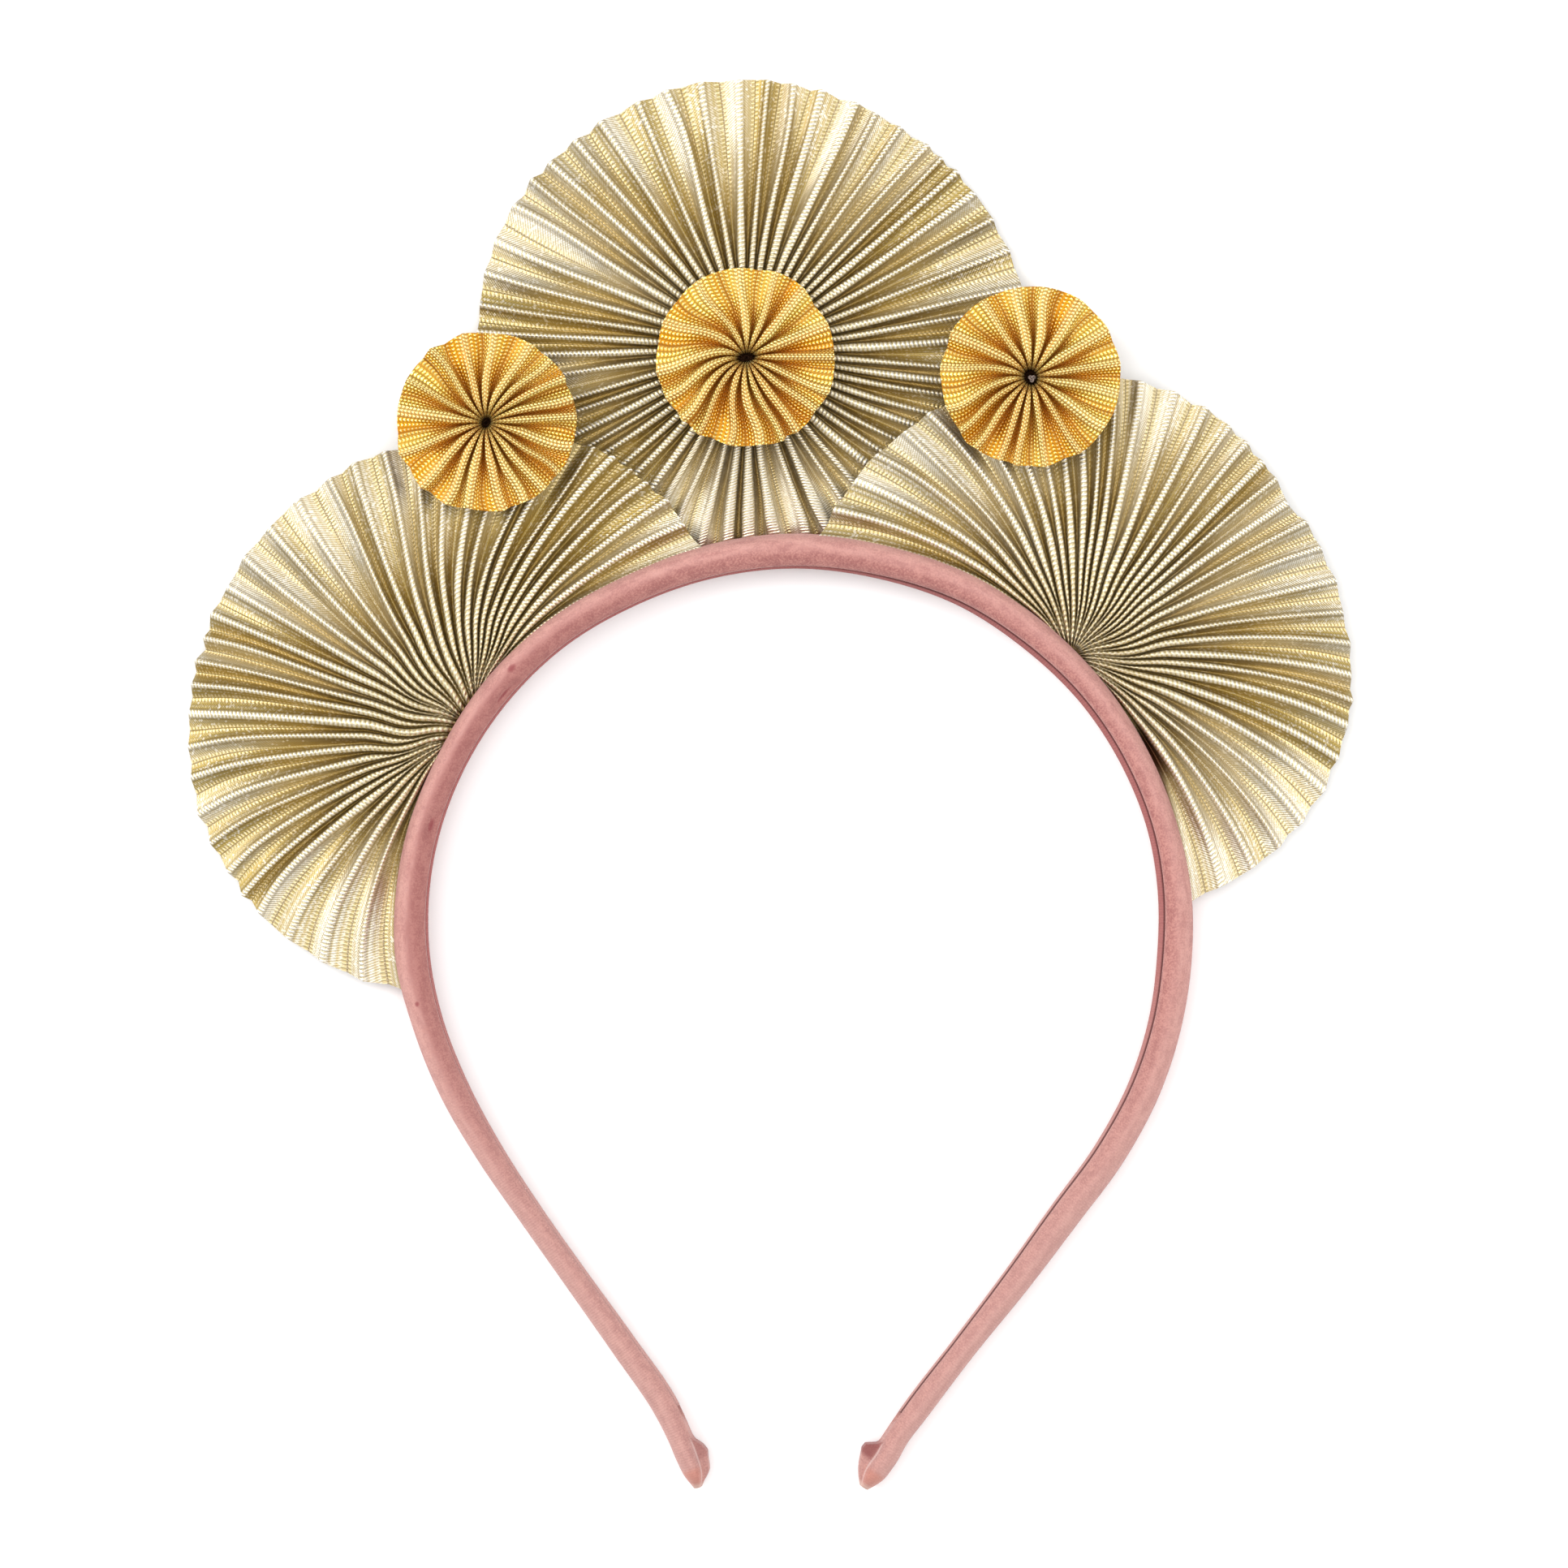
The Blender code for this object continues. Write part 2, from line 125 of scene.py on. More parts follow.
# Part of a fan, by its middle and spread in degrees, whose folds lie open and get a painted shine,
# or where the number is negative lie shut and are painted duller as painted shade
Sector = namedtuple("Sector", "angle spread open")
Fan = namedtuple("Fan", "name node x y z tilt_x tilt_y pleats gather bunches seed rim sectors")
FAN_CENTER = Fan(
    name="lame_fan_center", node="fan_center", x=-3.4, y=68.0, z=2.3, tilt_x=0.0, tilt_y=0.0,
    pleats=56, gather=0.0, bunches=0, seed=11,
    rim=[
        RimPoint(-90, 42.4), RimPoint(-10, 43.6), RimPoint(14, 43.8), RimPoint(54, 42.1),
        RimPoint(90, 42.4), RimPoint(126, 42.4), RimPoint(150, 43.1), RimPoint(180, 42.5),
        RimPoint(270, 42.4),
    ],
    sectors=[
        Sector(12, 14, -0.06), Sector(36, 8, -0.22), Sector(60, 14, 0.20), Sector(84, 9, -0.22),
        Sector(112, 8, 0.0), Sector(140, 14, 0.16), Sector(172, 16, -0.34),
        Sector(212, 14, -0.10), Sector(270, 30, 0.38), Sector(328, 14, -0.16),
    ],
)
FAN_LEFT = Fan(
    name="lame_fan_left", node="fan_left", x=-47.1, y=9.5, z=4.4, tilt_x=0.020, tilt_y=0.028,
    pleats=35, gather=13.0, bunches=3, seed=5,
    rim=[
        RimPoint(39, 45.6), RimPoint(50, 46.8), RimPoint(63, 47.2), RimPoint(106, 44.3),
        RimPoint(130, 43.6), RimPoint(170, 43.6), RimPoint(202, 44.5), RimPoint(226, 44.3),
        RimPoint(255, 43.0),
    ],
    sectors=[
        Sector(62, 14, -0.56), Sector(104, 10, 0.10), Sector(143, 14, 0.20),
        Sector(181, 16, -0.32), Sector(214, 12, -0.22), Sector(244, 14, 0.40),
    ],
)
FAN_RIGHT = Fan(
    name="lame_fan_right", node="fan_right", x=47.7, y=20.9, z=4.4, tilt_x=-0.025, tilt_y=0.023,
    pleats=35, gather=7.0, bunches=1, seed=8,
    rim=[
        RimPoint(-64, 43.2), RimPoint(-42, 44.5), RimPoint(-18, 44.4), RimPoint(14, 42.1),
        RimPoint(34, 40.7), RimPoint(62, 43.0), RimPoint(100, 43.5), RimPoint(152, 43.6),
    ],
    sectors=[
        Sector(-50, 18, 0.36), Sector(-18, 10, -0.42), Sector(24, 14, 0.34),
        Sector(45, 5, -0.12), Sector(68, 14, 0.32), Sector(124, 16, 0.42),
    ],
)
FAN_SEAM = -90  # angle at which the full round fan's strip begins and ends
CROWN_REACH = 45.0  # length of band on each side of the crown that may cut the middle fan off
FAN_HUB = 2.4
BUNCHING = 0.85  # how far the gathered folds draw together, of all the way
TUCK = 0.35  # how far the fans' gathered edge reaches into the velvet
FAN_RINGS = 36
FAN_LENGTH = 40.0  # of the cloth along a fold
RING_CROWDING = 1.25  # above 1, the side fans' rings lie closer together towards the gather
PLAN_FINENESS = 6  # samples of the plan for each fold line
# Folds squeezed against the crown, by the share of their length that it cuts off
CRUSHED_LINES = 0.3  # the share from which their lines are bent the most
CRUSHED_HEIGHTS = 0.25  # and their heights changed the most
CRUSH_RISE = 1.3  # how far they stand up there
CRUSH_CURL = 0.5  # how far their ends turn under
CRUSH_DEEPEN = 0.5  # how much deeper they are than the others
CRUSH_WIDEN = 1.1  # how much wider their crests are

# The rosettes
Rosette = namedtuple("Rosette", "name node x y z turn pleats seed hole_long hole_wide hole_turn")
ROSETTES = [
    Rosette("ribbon_rosette_left", "rosette_left", -44.3, 56.4, 8.6, 4.0, 19, 3, 0.75, 0.55, 60),
    Rosette("ribbon_rosette_center", "rosette_center", -3.7, 66.7, 6.25, 0.0, 17, 7, 1.3, 0.6, 8),
    Rosette("ribbon_rosette_right", "rosette_right", 40.7, 63.5, 8.6, 9.0, 17, 4, 1.15, 0.9, 110),
]
ROSETTE_RADIUS = 14.0
ROSETTE_CORE = 0.05
ROSETTE_RINGS = 34
DIMPLE = 2.0  # how far the ribbon sinks at the hole
DIMPLE_REACH = 1.6  # past the edge of the hole
# The knot of thread in the right rosette
KNOT_MIDDLE = (40.9, 63.3, 7.35)
KNOT_SIZE = 0.17  # a third of its reach to each side
KNOT_STEPS = 60
KNOT_ROUND = 8
THREAD_RADIUS = 0.14

# How a pleated cloth is folded: the cloth between two folds, half the rounded crest's width and
# how much wider it is where the folds crowd, the cloth's thickness, how much the folds' widths
# change slowly and from one to the next, how far fold lines bend, how high a second crease stands
# in a valley, and how far the rim is scalloped and ragged
Pleating = namedtuple(
    "Pleating", "fold crest crowded thickness spread jitter sway second scallop ragged"
)
LAME_PLEATS = Pleating(
    fold=2.6, crest=0.40, crowded=1.7, thickness=0.22, spread=0.22, jitter=0.32, sway=0.17,
    second=0.45, scallop=0.20, ragged=0.17,
)
RIBBON_PLEATS = Pleating(
    fold=2.7, crest=0.55, crowded=1.1, thickness=0.25, spread=0.36, jitter=0.50, sway=0.20,
    second=0.85, scallop=0.12, ragged=0.17,
)
LEAST_SPACE = 0.18  # between two fold lines, against even spacing
HIDDEN_SPACE = 0.22  # the same for the folds that lie hidden at a gather
HIDDEN_DROP = 0.9  # how far those lie below the others
OPENING = 0.7  # how much more cloth an open sector takes up
FLATTEST = 0.22  # least height from valley to ridge, against the width of a fold
HUB_HEIGHT = 0.3  # of the folds at the hub or gather, against what they grow to
HUB_REACH = 0.22  # share of their length over which they grow
UNEVEN = 0.09  # how far single folds stand higher or lower than others
CREST_DROP = 0.16  # share of a panel's height that lies within its rounded crest
CREST_MOST = 0.68  # share of a panel's width that the crest may take
PANEL_BOW = 0.92  # below 1, panels bow downwards
PANEL_COLUMNS = 4  # columns between the crest and the bottom of a panel
Pleats = namedtuple("Pleats", "x y z coordinate v cut light")
# Painted shade: dark hollows where a fan stands off the velvet
Hollow = namedtuple("Hollow", "x y length width turn")
SHADED_HOLLOWS = [
    Hollow(59.5, 4.9, 4.6, 1.00, -62),
    Hollow(61.6, -1.6, 3.6, 0.75, -75),
]

CAMERA_X = 2.2
CAMERA_HEIGHT = 1200.0
PICTURE_WIDTH = 245.2  # what the picture takes in at the height of the fans
FANS_HEIGHT = 5.0
FLOOR_SIZE = 6000.0
FLOOR_DROP = 0.05  # below the band's back
Softbox = namedtuple("Softbox", "name x y z size power")
SOFTBOXES = [
    Softbox("overhead", 0.0, 100.0, 2200.0, 2000.0, 24.0),
    Softbox("left", -1600.0, 700.0, 1300.0, 1300.0, 29.0),
    Softbox("right", 1700.0, 200.0, 1100.0, 1000.0, 14.0),
]
WORLD_STRENGTH = 0.66


def smooth_through(rows, knots, at):
    """Reads the rows, one at each knot, at the places AT of a smooth curve through them."""
    slopes = np.gradient(rows, knots, axis=0)
    i = np.clip(np.searchsorted(knots, at) - 1, 0, len(knots) - 2)
    step = (knots[i + 1] - knots[i])[:, None]
    t = (at - knots[i])[:, None] / step
    start = (2 * t**3 - 3 * t**2 + 1) * rows[i] + (t**3 - 2 * t**2 + t) * slopes[i] * step
    end = (3 * t**2 - 2 * t**3) * rows[i + 1] + (t**3 - t**2) * slopes[i + 1] * step
    return start + end


def band_rows():
    """Every row of the band from the left tip over the crown to the right tip, and its place
    along the band, measured from the crown."""
    left = [(BAND_AXIS - row.left, row.y, row.thick_left, row.deep) for row in reversed(BAND)]
    crown = [(BAND_AXIS, CROWN_Y, CROWN_THICK, CROWN_DEEP)]
    right = [(BAND_AXIS + row.right, row.y, row.thick_right, row.deep) for row in BAND]
    rows = np.array(left + crown + right)
    steps = np.hypot(np.diff(rows[:, 0]), np.diff(rows[:, 1]))
    along = np.concatenate([[0.0], np.cumsum(steps)])
    return rows, along - along[len(left)]


ROWS, ALONG = band_rows()
LEFT_END, RIGHT_END = ALONG[0], ALONG[-1]
Stations = namedtuple("Stations", "x y out_x out_y thick deep")


def band_at(along):
    """The band's centre line, outward direction, thickness and depth at places along it."""
    x, y, thick, deep = smooth_through(ROWS, ALONG, along).T
    ahead = smooth_through(ROWS, ALONG, np.minimum(along + NUDGE, RIGHT_END))
    behind = smooth_through(ROWS, ALONG, np.maximum(along - NUDGE, LEFT_END))
    run_x, run_y = (ahead - behind)[:, :2].T
    run = np.hypot(run_x, run_y)
    return Stations(x, y, -run_y / run, run_x / run, thick, deep)


def ease(low, high, x):
    """0 up to LOW, 1 from HIGH on, and smooth between them."""
    t = np.clip((x - low) / (high - low), 0, 1)
    return t * t * (3 - 2 * t)


def outer_edge(along):
    """The line in which the fans meet the velvet, seen from the front."""
    at = band_at(along)
    away = at.thick / 2 - TUCK
    return np.stack([at.x + at.out_x * away, at.y + at.out_y * away], axis=-1)


def inner_lean(along):
    """How far the band's inner side leans outwards, which shows it from the front on the right."""
    lean = LEAN_LEFT + (LEAN_RIGHT - LEAN_LEFT) * ease(*LEAN_TURN, along)
    return lean + (LEAN_LEGS - lean) * ease(*LEGS, np.abs(along))


EDGE_ALONG = np.linspace(LEFT_END, RIGHT_END, EDGE_STEPS)
EDGE = outer_edge(EDGE_ALONG)


def around(middle, angle, radius):
    """Places at angles, in degrees, and distances from a middle that has an x and a y."""
    turn = np.radians(angle)
    return np.stack([middle.x + radius * np.cos(turn), middle.y + radius * np.sin(turn)], axis=-1)


def rim_line(fan, angle):
    radius = np.interp(angle, [point.angle for point in fan.rim], [point.radius for point in fan.rim])
    return around(fan, angle, radius)


def distance_and_angle(middle, places):
    away = places - np.array([middle.x, middle.y])
    angle = np.degrees(np.unwrap(np.arctan2(away[:, 1], away[:, 0])))
    return np.hypot(away[:, 0], away[:, 1]), angle


def plan_center(fan, u, v):
    """Places of the full round fan: u runs round it from 0 to 1, v from its hub to its rim, or
    to the crown of the band where that is nearer. Also tells how much of the rim is cut off."""
    angle = FAN_SEAM + 360 * u
    from_below = np.where(angle > FAN_SEAM + 180, angle - 360, angle)
    crown = np.abs(EDGE_ALONG) < CROWN_REACH
    to_band, band_angle = distance_and_angle(fan, EDGE[crown])
    to_band = np.interp(from_below, band_angle, to_band, left=np.inf, right=np.inf)
    to_rim, _ = distance_and_angle(fan, rim_line(fan, angle))
    reach = np.minimum(to_rim, to_band)
    radius = FAN_HUB + (reach[:, None] - FAN_HUB) * v
    return around(fan, angle[:, None], radius), 1 - reach / to_rim


def meeting_place(fan, side):
    """How far along the band the fan's rim meets it, going from the gather to one side."""
    away, angle = distance_and_angle(fan, EDGE[side])
    angle = np.where(angle < FAN_SEAM, angle + 360, angle)
    rim, _ = distance_and_angle(fan, rim_line(fan, angle))
    return EDGE_ALONG[side][int(np.argmax(away > rim))]


def plan_side(fan, u, v):
    """Places of a side fan: a patch between the stretch of band that it is gathered on and its
    rim, whose other two sides lie along the band."""
    foot = int(np.argmin(distance_and_angle(fan, EDGE)[0]))
    start, end = meeting_place(fan, slice(foot, None)), meeting_place(fan, slice(foot, None, -1))
    from_, to = EDGE_ALONG[foot] + fan.gather / 2, EDGE_ALONG[foot] - fan.gather / 2
    v = v**RING_CROWDING
    bunched = u + BUNCHING * np.sin(math.tau * fan.bunches * u) / (math.tau * fan.bunches)
    base = outer_edge(from_ + (to - from_) * bunched)
    first = outer_edge(from_ + (start - from_) * v)
    last = outer_edge(to + (end - to) * v)
    _, corner = distance_and_angle(fan, np.stack([first[-1], last[-1]]))
    sweep = (corner[1] - corner[0]) % 360
    rim = rim_line(fan, corner[0] + sweep * u)
    rim[0], rim[-1] = first[-1], last[-1]
    u, v = u[:, None, None], v[None, :, None]
    from_base = (1 - v) * base[:, None] + v * rim[:, None]
    from_sides = (1 - u) * first[None] + u * last[None]
    flat = (1 - v) * ((1 - u) * first[0] + u * last[0]) + v * ((1 - u) * first[-1] + u * last[-1])
    return from_base + from_sides - flat, np.zeros(u.shape[0])


def plan_rosette(rosette, u, v):
    radius = ROSETTE_CORE + (ROSETTE_RADIUS - ROSETTE_CORE) * v
    return around(rosette, rosette.turn + 360 * u[:, None], radius[None, :]), np.zeros(u.shape[0])


def slow_noise(rng, count, period, closed):
    """Smooth random numbers from -1 to 1, one for each of COUNT places."""
    knots = max(4, round(count / period))
    values = rng.uniform(-1, 1, knots + 1)
    if closed:
        values[-1] = values[0]
    return np.interp(np.linspace(0, knots, count), np.arange(knots + 1), values)


def fold_places(rng, pleating, opened, crushed, hidden, v, closed):
    """Where each fold line runs, counted in even folds: it strays more towards the rim than at
    the gather and bends a little, more so where it is crushed."""
    folds = len(opened) - 1
    width = 1 + pleating.spread * slow_noise(rng, folds, 7, closed)
    width += pleating.jitter * rng.uniform(-1, 1, folds)
    width *= 1 + OPENING * opened[:-1]
    loose = np.concatenate([[0.0], np.cumsum(width)])
    even = np.arange(folds + 1)
    stray = loose * folds / loose[-1] - even
    sway, kink = rng.normal(0, pleating.sway, (2, folds + 1)) * (1 + 1.5 * crushed)
    sway[0] = sway[-1] = kink[0] = kink[-1] = 0
    grown = ease(0.0, 0.9, v)
    lines = even[:, None] + stray[:, None] * (0.35 + 0.65 * grown)
    lines += sway[:, None] * np.sin(math.pi * v) * v
    lines += 0.7 * kink[:, None] * np.sin(2 * math.pi * v) * v
    space = np.maximum(np.diff(lines, axis=0), LEAST_SPACE)
    space *= 1 - (1 - HIDDEN_SPACE) * np.maximum(hidden[1:], hidden[:-1])
    space *= folds / space.sum(axis=0)
    return np.concatenate([np.zeros((1, len(v))), np.cumsum(space, axis=0)])


def sector_light(piece, angle):
    """How open the folds are at angles round a fan, from its sectors. A rosette has none."""
    total = np.zeros(len(angle))
    for sector in getattr(piece, "sectors", []):
        apart = (angle - sector.angle + 180) % 360 - 180
        total += sector.open * np.exp(-((apart / sector.spread) ** 2))
    return total


def read_plan(places, fine, fold):
    """The plan's places, known at the fold coordinates FINE, at one coordinate for each ring."""
    rings = range(fold.shape[1])
    return np.array([
        [np.interp(fold[:, j], fine, places[:, j, axis]) for j in rings] for axis in (0, 1)
    ]).transpose(0, 2, 1)


def fold_levels(step, pleating, v, closed):
    """How high each ridge stands and how low each valley lies, so that the cloth between two fold
    lines that are STEP apart keeps its width."""
    rise = np.sqrt(np.maximum(pleating.fold**2 - step**2, (FLATTEST * pleating.fold) ** 2))
    before, after = (rise[-1:], rise[:1]) if closed else (rise[:1], rise[-1:])
    rise = np.concatenate([before, rise, after])
    sign = np.where(np.arange(len(rise) - 1) % 2 == 0, 1.0, -1.0)
    grown = HUB_HEIGHT + (1 - HUB_HEIGHT) * ease(0.0, HUB_REACH, v)
    return sign[:, None] * (rise[1:] + rise[:-1]) / 4 * grown


def same_ends(values):
    """The numbers of all fold lines, with the last line's made the same as the first's."""
    values[-1] = values[0]
    return values


def panel_columns(narrow, top, bottom, lifted):
    """A panel's columns from its ridge to its valley: how far across it they lie, their heights
    and their fold coordinates. NARROW is the share of the panel that its rounded crest takes, and
    LIFTED how high a second crease stands at its bottom."""
    crest = np.array([0.0, 0.5, 1.0])[:, None] * narrow
    part = np.arange(1, PANEL_COLUMNS + 1) / PANEL_COLUMNS
    t = np.concatenate([crest, narrow + (1 - narrow) * part[:, None]])
    coordinate = np.concatenate([[0, 0.125, 0.25], 0.25 + 0.75 * part])
    below_crest = np.clip((t - narrow) / (1 - narrow), 0, 1)
    drop = np.where(
        t < narrow,
        CREST_DROP * (t / narrow) ** 2,
        CREST_DROP + (1 - CREST_DROP) * below_crest**PANEL_BOW,
    )
    height = top + (bottom - top) * drop * (1 - 0.8 * ease(0.45, 1.0, t) * lifted)
    return t, height, coordinate


def pleated_shape(rng, plan, piece, pleating, rings, closed):
    """The cloth's columns: places and heights of their points, and the fold coordinate, which is
    even on a ridge and odd in a valley, with the rounded crest in the first quarter."""
    folds = 2 * piece.pleats
    v = np.linspace(0, 1, rings + 1)
    fine = np.linspace(0, folds, folds * PLAN_FINENESS + 1)
    places, cut = plan(piece, fine / folds, v)
    _, angle = distance_and_angle(piece, places[::PLAN_FINENESS, -1])
    opened = sector_light(piece, angle)
    crushed = np.clip(cut[::PLAN_FINENESS] / CRUSHED_LINES, 0, 1)
    hidden = np.zeros((folds + 1, rings + 1))
    if not closed:
        for line in range(2, folds - 1, 4):
            start = rng.uniform(0.04, 0.16)
            hidden[line] = ease(start + 0.22, start, v)
    lines = fold_places(rng, pleating, opened, crushed, hidden, v, closed)
    step = np.hypot(*np.diff(read_plan(places, fine, lines), axis=1))
    uneven = same_ends(rng.normal(0, UNEVEN, folds + 1))
    level = fold_levels(step, pleating, v, closed)
    level = level + uneven[:, None] * ease(0.1, 0.8, v) - HIDDEN_DROP * hidden
    second = same_ends(np.clip(rng.uniform(-0.6, 1.0, folds + 1), 0, 1) * pleating.second)
    starts = same_ends(rng.uniform(0.30, 0.65, folds + 1))
    stout = same_ends(rng.uniform(0.65, 1.35, folds + 1))
    ragged = same_ends(rng.normal(0, pleating.ragged, folds + 1))
    crest = pleating.crest * (1 + (pleating.crowded - 1) * ease(0.75, 0.15, v))
    at_rim = ease(0.80, 1.0, v)

    columns = [[], [], [], [], []]
    for i in range(folds):
        ridge, valley = (i, i + 1) if i % 2 == 0 else (i + 1, i)
        pressed = 1 + CRUSH_WIDEN * crushed[ridge] * ease(0.45, 0.85, v)
        narrow = np.clip(crest * stout[ridge] * pressed / step[i], 0.0, CREST_MOST)
        lifted = second[valley] * ease(starts[valley], starts[valley] + 0.35, v)
        t, height, q = panel_columns(narrow, level[ridge], level[valley], lifted)
        out = pleating.scallop * (1 - 2 * t) + ragged[ridge] * (1 - t) + ragged[valley] * t
        if i % 2:
            t, height, q, out = 1 - t[::-1], height[::-1], 1 - q[::-1], out[::-1]
        fold = lines[i] * (1 - t) + lines[i + 1] * t
        width = np.broadcast_to(step[i] / pleating.fold, fold.shape)
        last = None if i == folds - 1 else -1
        for kept, values in zip(columns, (fold, height, i + q, out * at_rim, width)):
            kept.append(values[:last])
    fold, z, coordinate, outward, width = (np.concatenate(kept) for kept in columns)
    x, y = read_plan(places, fine, fold)
    cut = np.interp(fold[:, -1], fine, cut)
    outward = outward * (1 - np.clip(cut / 0.05, 0, 1))[:, None]
    away = np.maximum(np.hypot(x - piece.x, y - piece.y), 1.0)
    x, y = x + outward * (x - piece.x) / away, y + outward * (y - piece.y) / away
    # Painted shine: open sectors and wide panels get a higher light value, which the lame paints
    # brighter
    lit = np.interp(fold[:, -1], np.arange(folds + 1), opened)[:, None] * ease(0.0, 0.6, v)
    light = np.clip(0.42 + 0.9 * lit + 0.35 * (width - 0.75), 0, 1)
    return Pleats(x, y, z, coordinate, v, cut, light)


def hollow_shade(x, y):
    """How much painted shade points get from the dark hollows, from 0 to 1."""
    depth = np.zeros(x.shape)
    for hollow in SHADED_HOLLOWS:
        turn = math.radians(hollow.turn)
        east, north = x - hollow.x, y - hollow.y
        run = (east * math.cos(turn) + north * math.sin(turn)) / hollow.length
        side = (north * math.cos(turn) - east * math.sin(turn)) / hollow.width
        depth = np.maximum(depth, np.exp(-(run**4) - side**4))
    return depth


def grid_mesh(x, y, z, maps):
    """A grid whose columns and rings are moved to their places. Each of its maps holds two numbers
    for each place."""
    columns, rings = x.shape[0] - 1, x.shape[1] - 1
    bm = bmesh.new()
    for name in maps:
        bm.loops.layers.uv.new(name)
    bmesh.ops.create_grid(bm, x_segments=columns, y_segments=rings, size=0.5)
    layers = [(bm.loops.layers.uv[name], values) for name, values in maps.items()]
    for vert in bm.verts:
        i, j = round((vert.co.x + 0.5) * columns), round((vert.co.y + 0.5) * rings)
        for loop in vert.link_loops:
            for layer, (first, second) in layers:
                loop[layer].uv = (first[i, j], second[i, j])
        vert.co = (x[i, j] * MM, y[i, j] * MM, z[i, j] * MM)
    bmesh.ops.remove_doubles(bm, verts=bm.verts[:], dist=0.001 * MM)
    return bm


def cloth_from_grid(name, pleats, z, along, thickness, material):
    """A sheet of cloth, given its thickness by Solidify. Its map "cloth" holds the fold coordinate
    and the length along the fold, and its map "light" how brightly the fold is painted, as a painted
    shine, and how much painted shade it gets from a hollow."""
    x, y = pleats.x, pleats.y
    coordinate = np.broadcast_to(pleats.coordinate[:, None], x.shape)
    light = (pleats.light, hollow_shade(x, y))
    bm = grid_mesh(x, y, z, {"cloth": (coordinate, along), "light": light})
    for edge in bm.edges:
        edge.smooth = not edge.is_boundary
    bmesh.ops.recalc_face_normals(bm, faces=bm.faces[:])
    upward = sum(face.normal.z * face.calc_area() for face in bm.faces)
    if upward < 0:
        bmesh.ops.reverse_faces(bm, faces=bm.faces[:])
    piece = add_piece(name, bm, material)
    solidify = piece.modifiers.new("thickness", "SOLIDIFY")
    solidify.thickness = thickness * MM
    solidify.offset = -1
    return piece


def add_piece(name, bm, material, smooth=True):
    mesh = bpy.data.meshes.new(name)
    bm.to_mesh(mesh)
    bm.free()
    mesh.materials.append(material)
    if smooth:
        mesh.shade_smooth()
    piece = bpy.data.objects.new(name, mesh)
    bpy.context.scene.collection.objects.link(piece)
    return piece


def make_lame_fan(fan, plan, closed, material):
    rng = np.random.default_rng(fan.seed)
    pleats = pleated_shape(rng, plan, fan, LAME_PLEATS, FAN_RINGS, closed)
    v = pleats.v
    crushed = np.clip(pleats.cut / CRUSHED_HEIGHTS, 0, 1)[:, None]
    z = pleats.z * (1 + CRUSH_DEEPEN * crushed * ease(0.2, 0.7, v))
    z = z + crushed * (CRUSH_RISE * ease(0.5, 0.92, v) - CRUSH_CURL * ease(0.95, 1.0, v))
    z = z + fan.z + fan.tilt_x * (pleats.x - fan.x) + fan.tilt_y * (pleats.y - fan.y)
    along = FAN_LENGTH * np.broadcast_to(v if closed else v**RING_CROWDING, z.shape)
    piece = cloth_from_grid(fan.name, pleats, z, along, LAME_PLEATS.thickness, material)
    dress(piece, fan.node)


def hole_edge(rosette, angle):
    """Distance from the rosette's middle to the edge of its hole, an ellipse, at angles."""
    turn = np.radians(angle - rosette.hole_turn)
    long_, wide = rosette.hole_long, rosette.hole_wide
    return long_ * wide / np.hypot(wide * np.cos(turn), long_ * np.sin(turn))


def make_rosette(rosette, material):
    rng = np.random.default_rng(rosette.seed)
    pleats = pleated_shape(rng, plan_rosette, rosette, RIBBON_PLEATS, ROSETTE_RINGS, True)
    east, north = pleats.x - rosette.x, pleats.y - rosette.y
    along = np.hypot(east, north) - hole_edge(rosette, np.degrees(np.arctan2(north, east)))
    z = pleats.z + rosette.z - DIMPLE * np.clip(1 - along / DIMPLE_REACH, 0, 1) ** 2
    piece = cloth_from_grid(rosette.name, pleats, z, along, RIBBON_PLEATS.thickness, material)
    dress(piece, rosette.node)


def make_thread_knot(material):
    """A thread with its ends joined that runs through itself three times, in a trefoil."""
    t = math.tau * np.linspace(0, 1, KNOT_STEPS + 1)
    one_x, one_y, two_x, two_y = np.sin(t), np.cos(t), np.sin(2 * t), np.cos(2 * t)
    path = np.stack([one_x + 2 * two_x, one_y - 2 * two_y, -np.sin(3 * t)], axis=-1)
    ahead = np.stack([one_y + 4 * two_y, 4 * two_x - one_x, -3 * np.cos(3 * t)], axis=-1)
    side = np.cross(ahead, (0, 0, 1))
    side /= np.linalg.norm(side, axis=1)[:, None]
    over = np.cross(side, ahead)
    over /= np.linalg.norm(over, axis=1)[:, None]
    turn = math.tau * np.linspace(0, 1, KNOT_ROUND + 1)[None, :, None]
    skin = THREAD_RADIUS * (side[:, None] * np.cos(turn) + over[:, None] * np.sin(turn))
    x, y, z = np.moveaxis(KNOT_SIZE * path[:, None] + skin, 2, 0)
    x, y, z = x + KNOT_MIDDLE[0], y + KNOT_MIDDLE[1], z + KNOT_MIDDLE[2]
    piece = tube_from_grid("thread_knot", x, y, z, t, material)
    dress(piece, "rosette_right")


def dress(piece, node):
    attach(piece, "root")
    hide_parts(node)


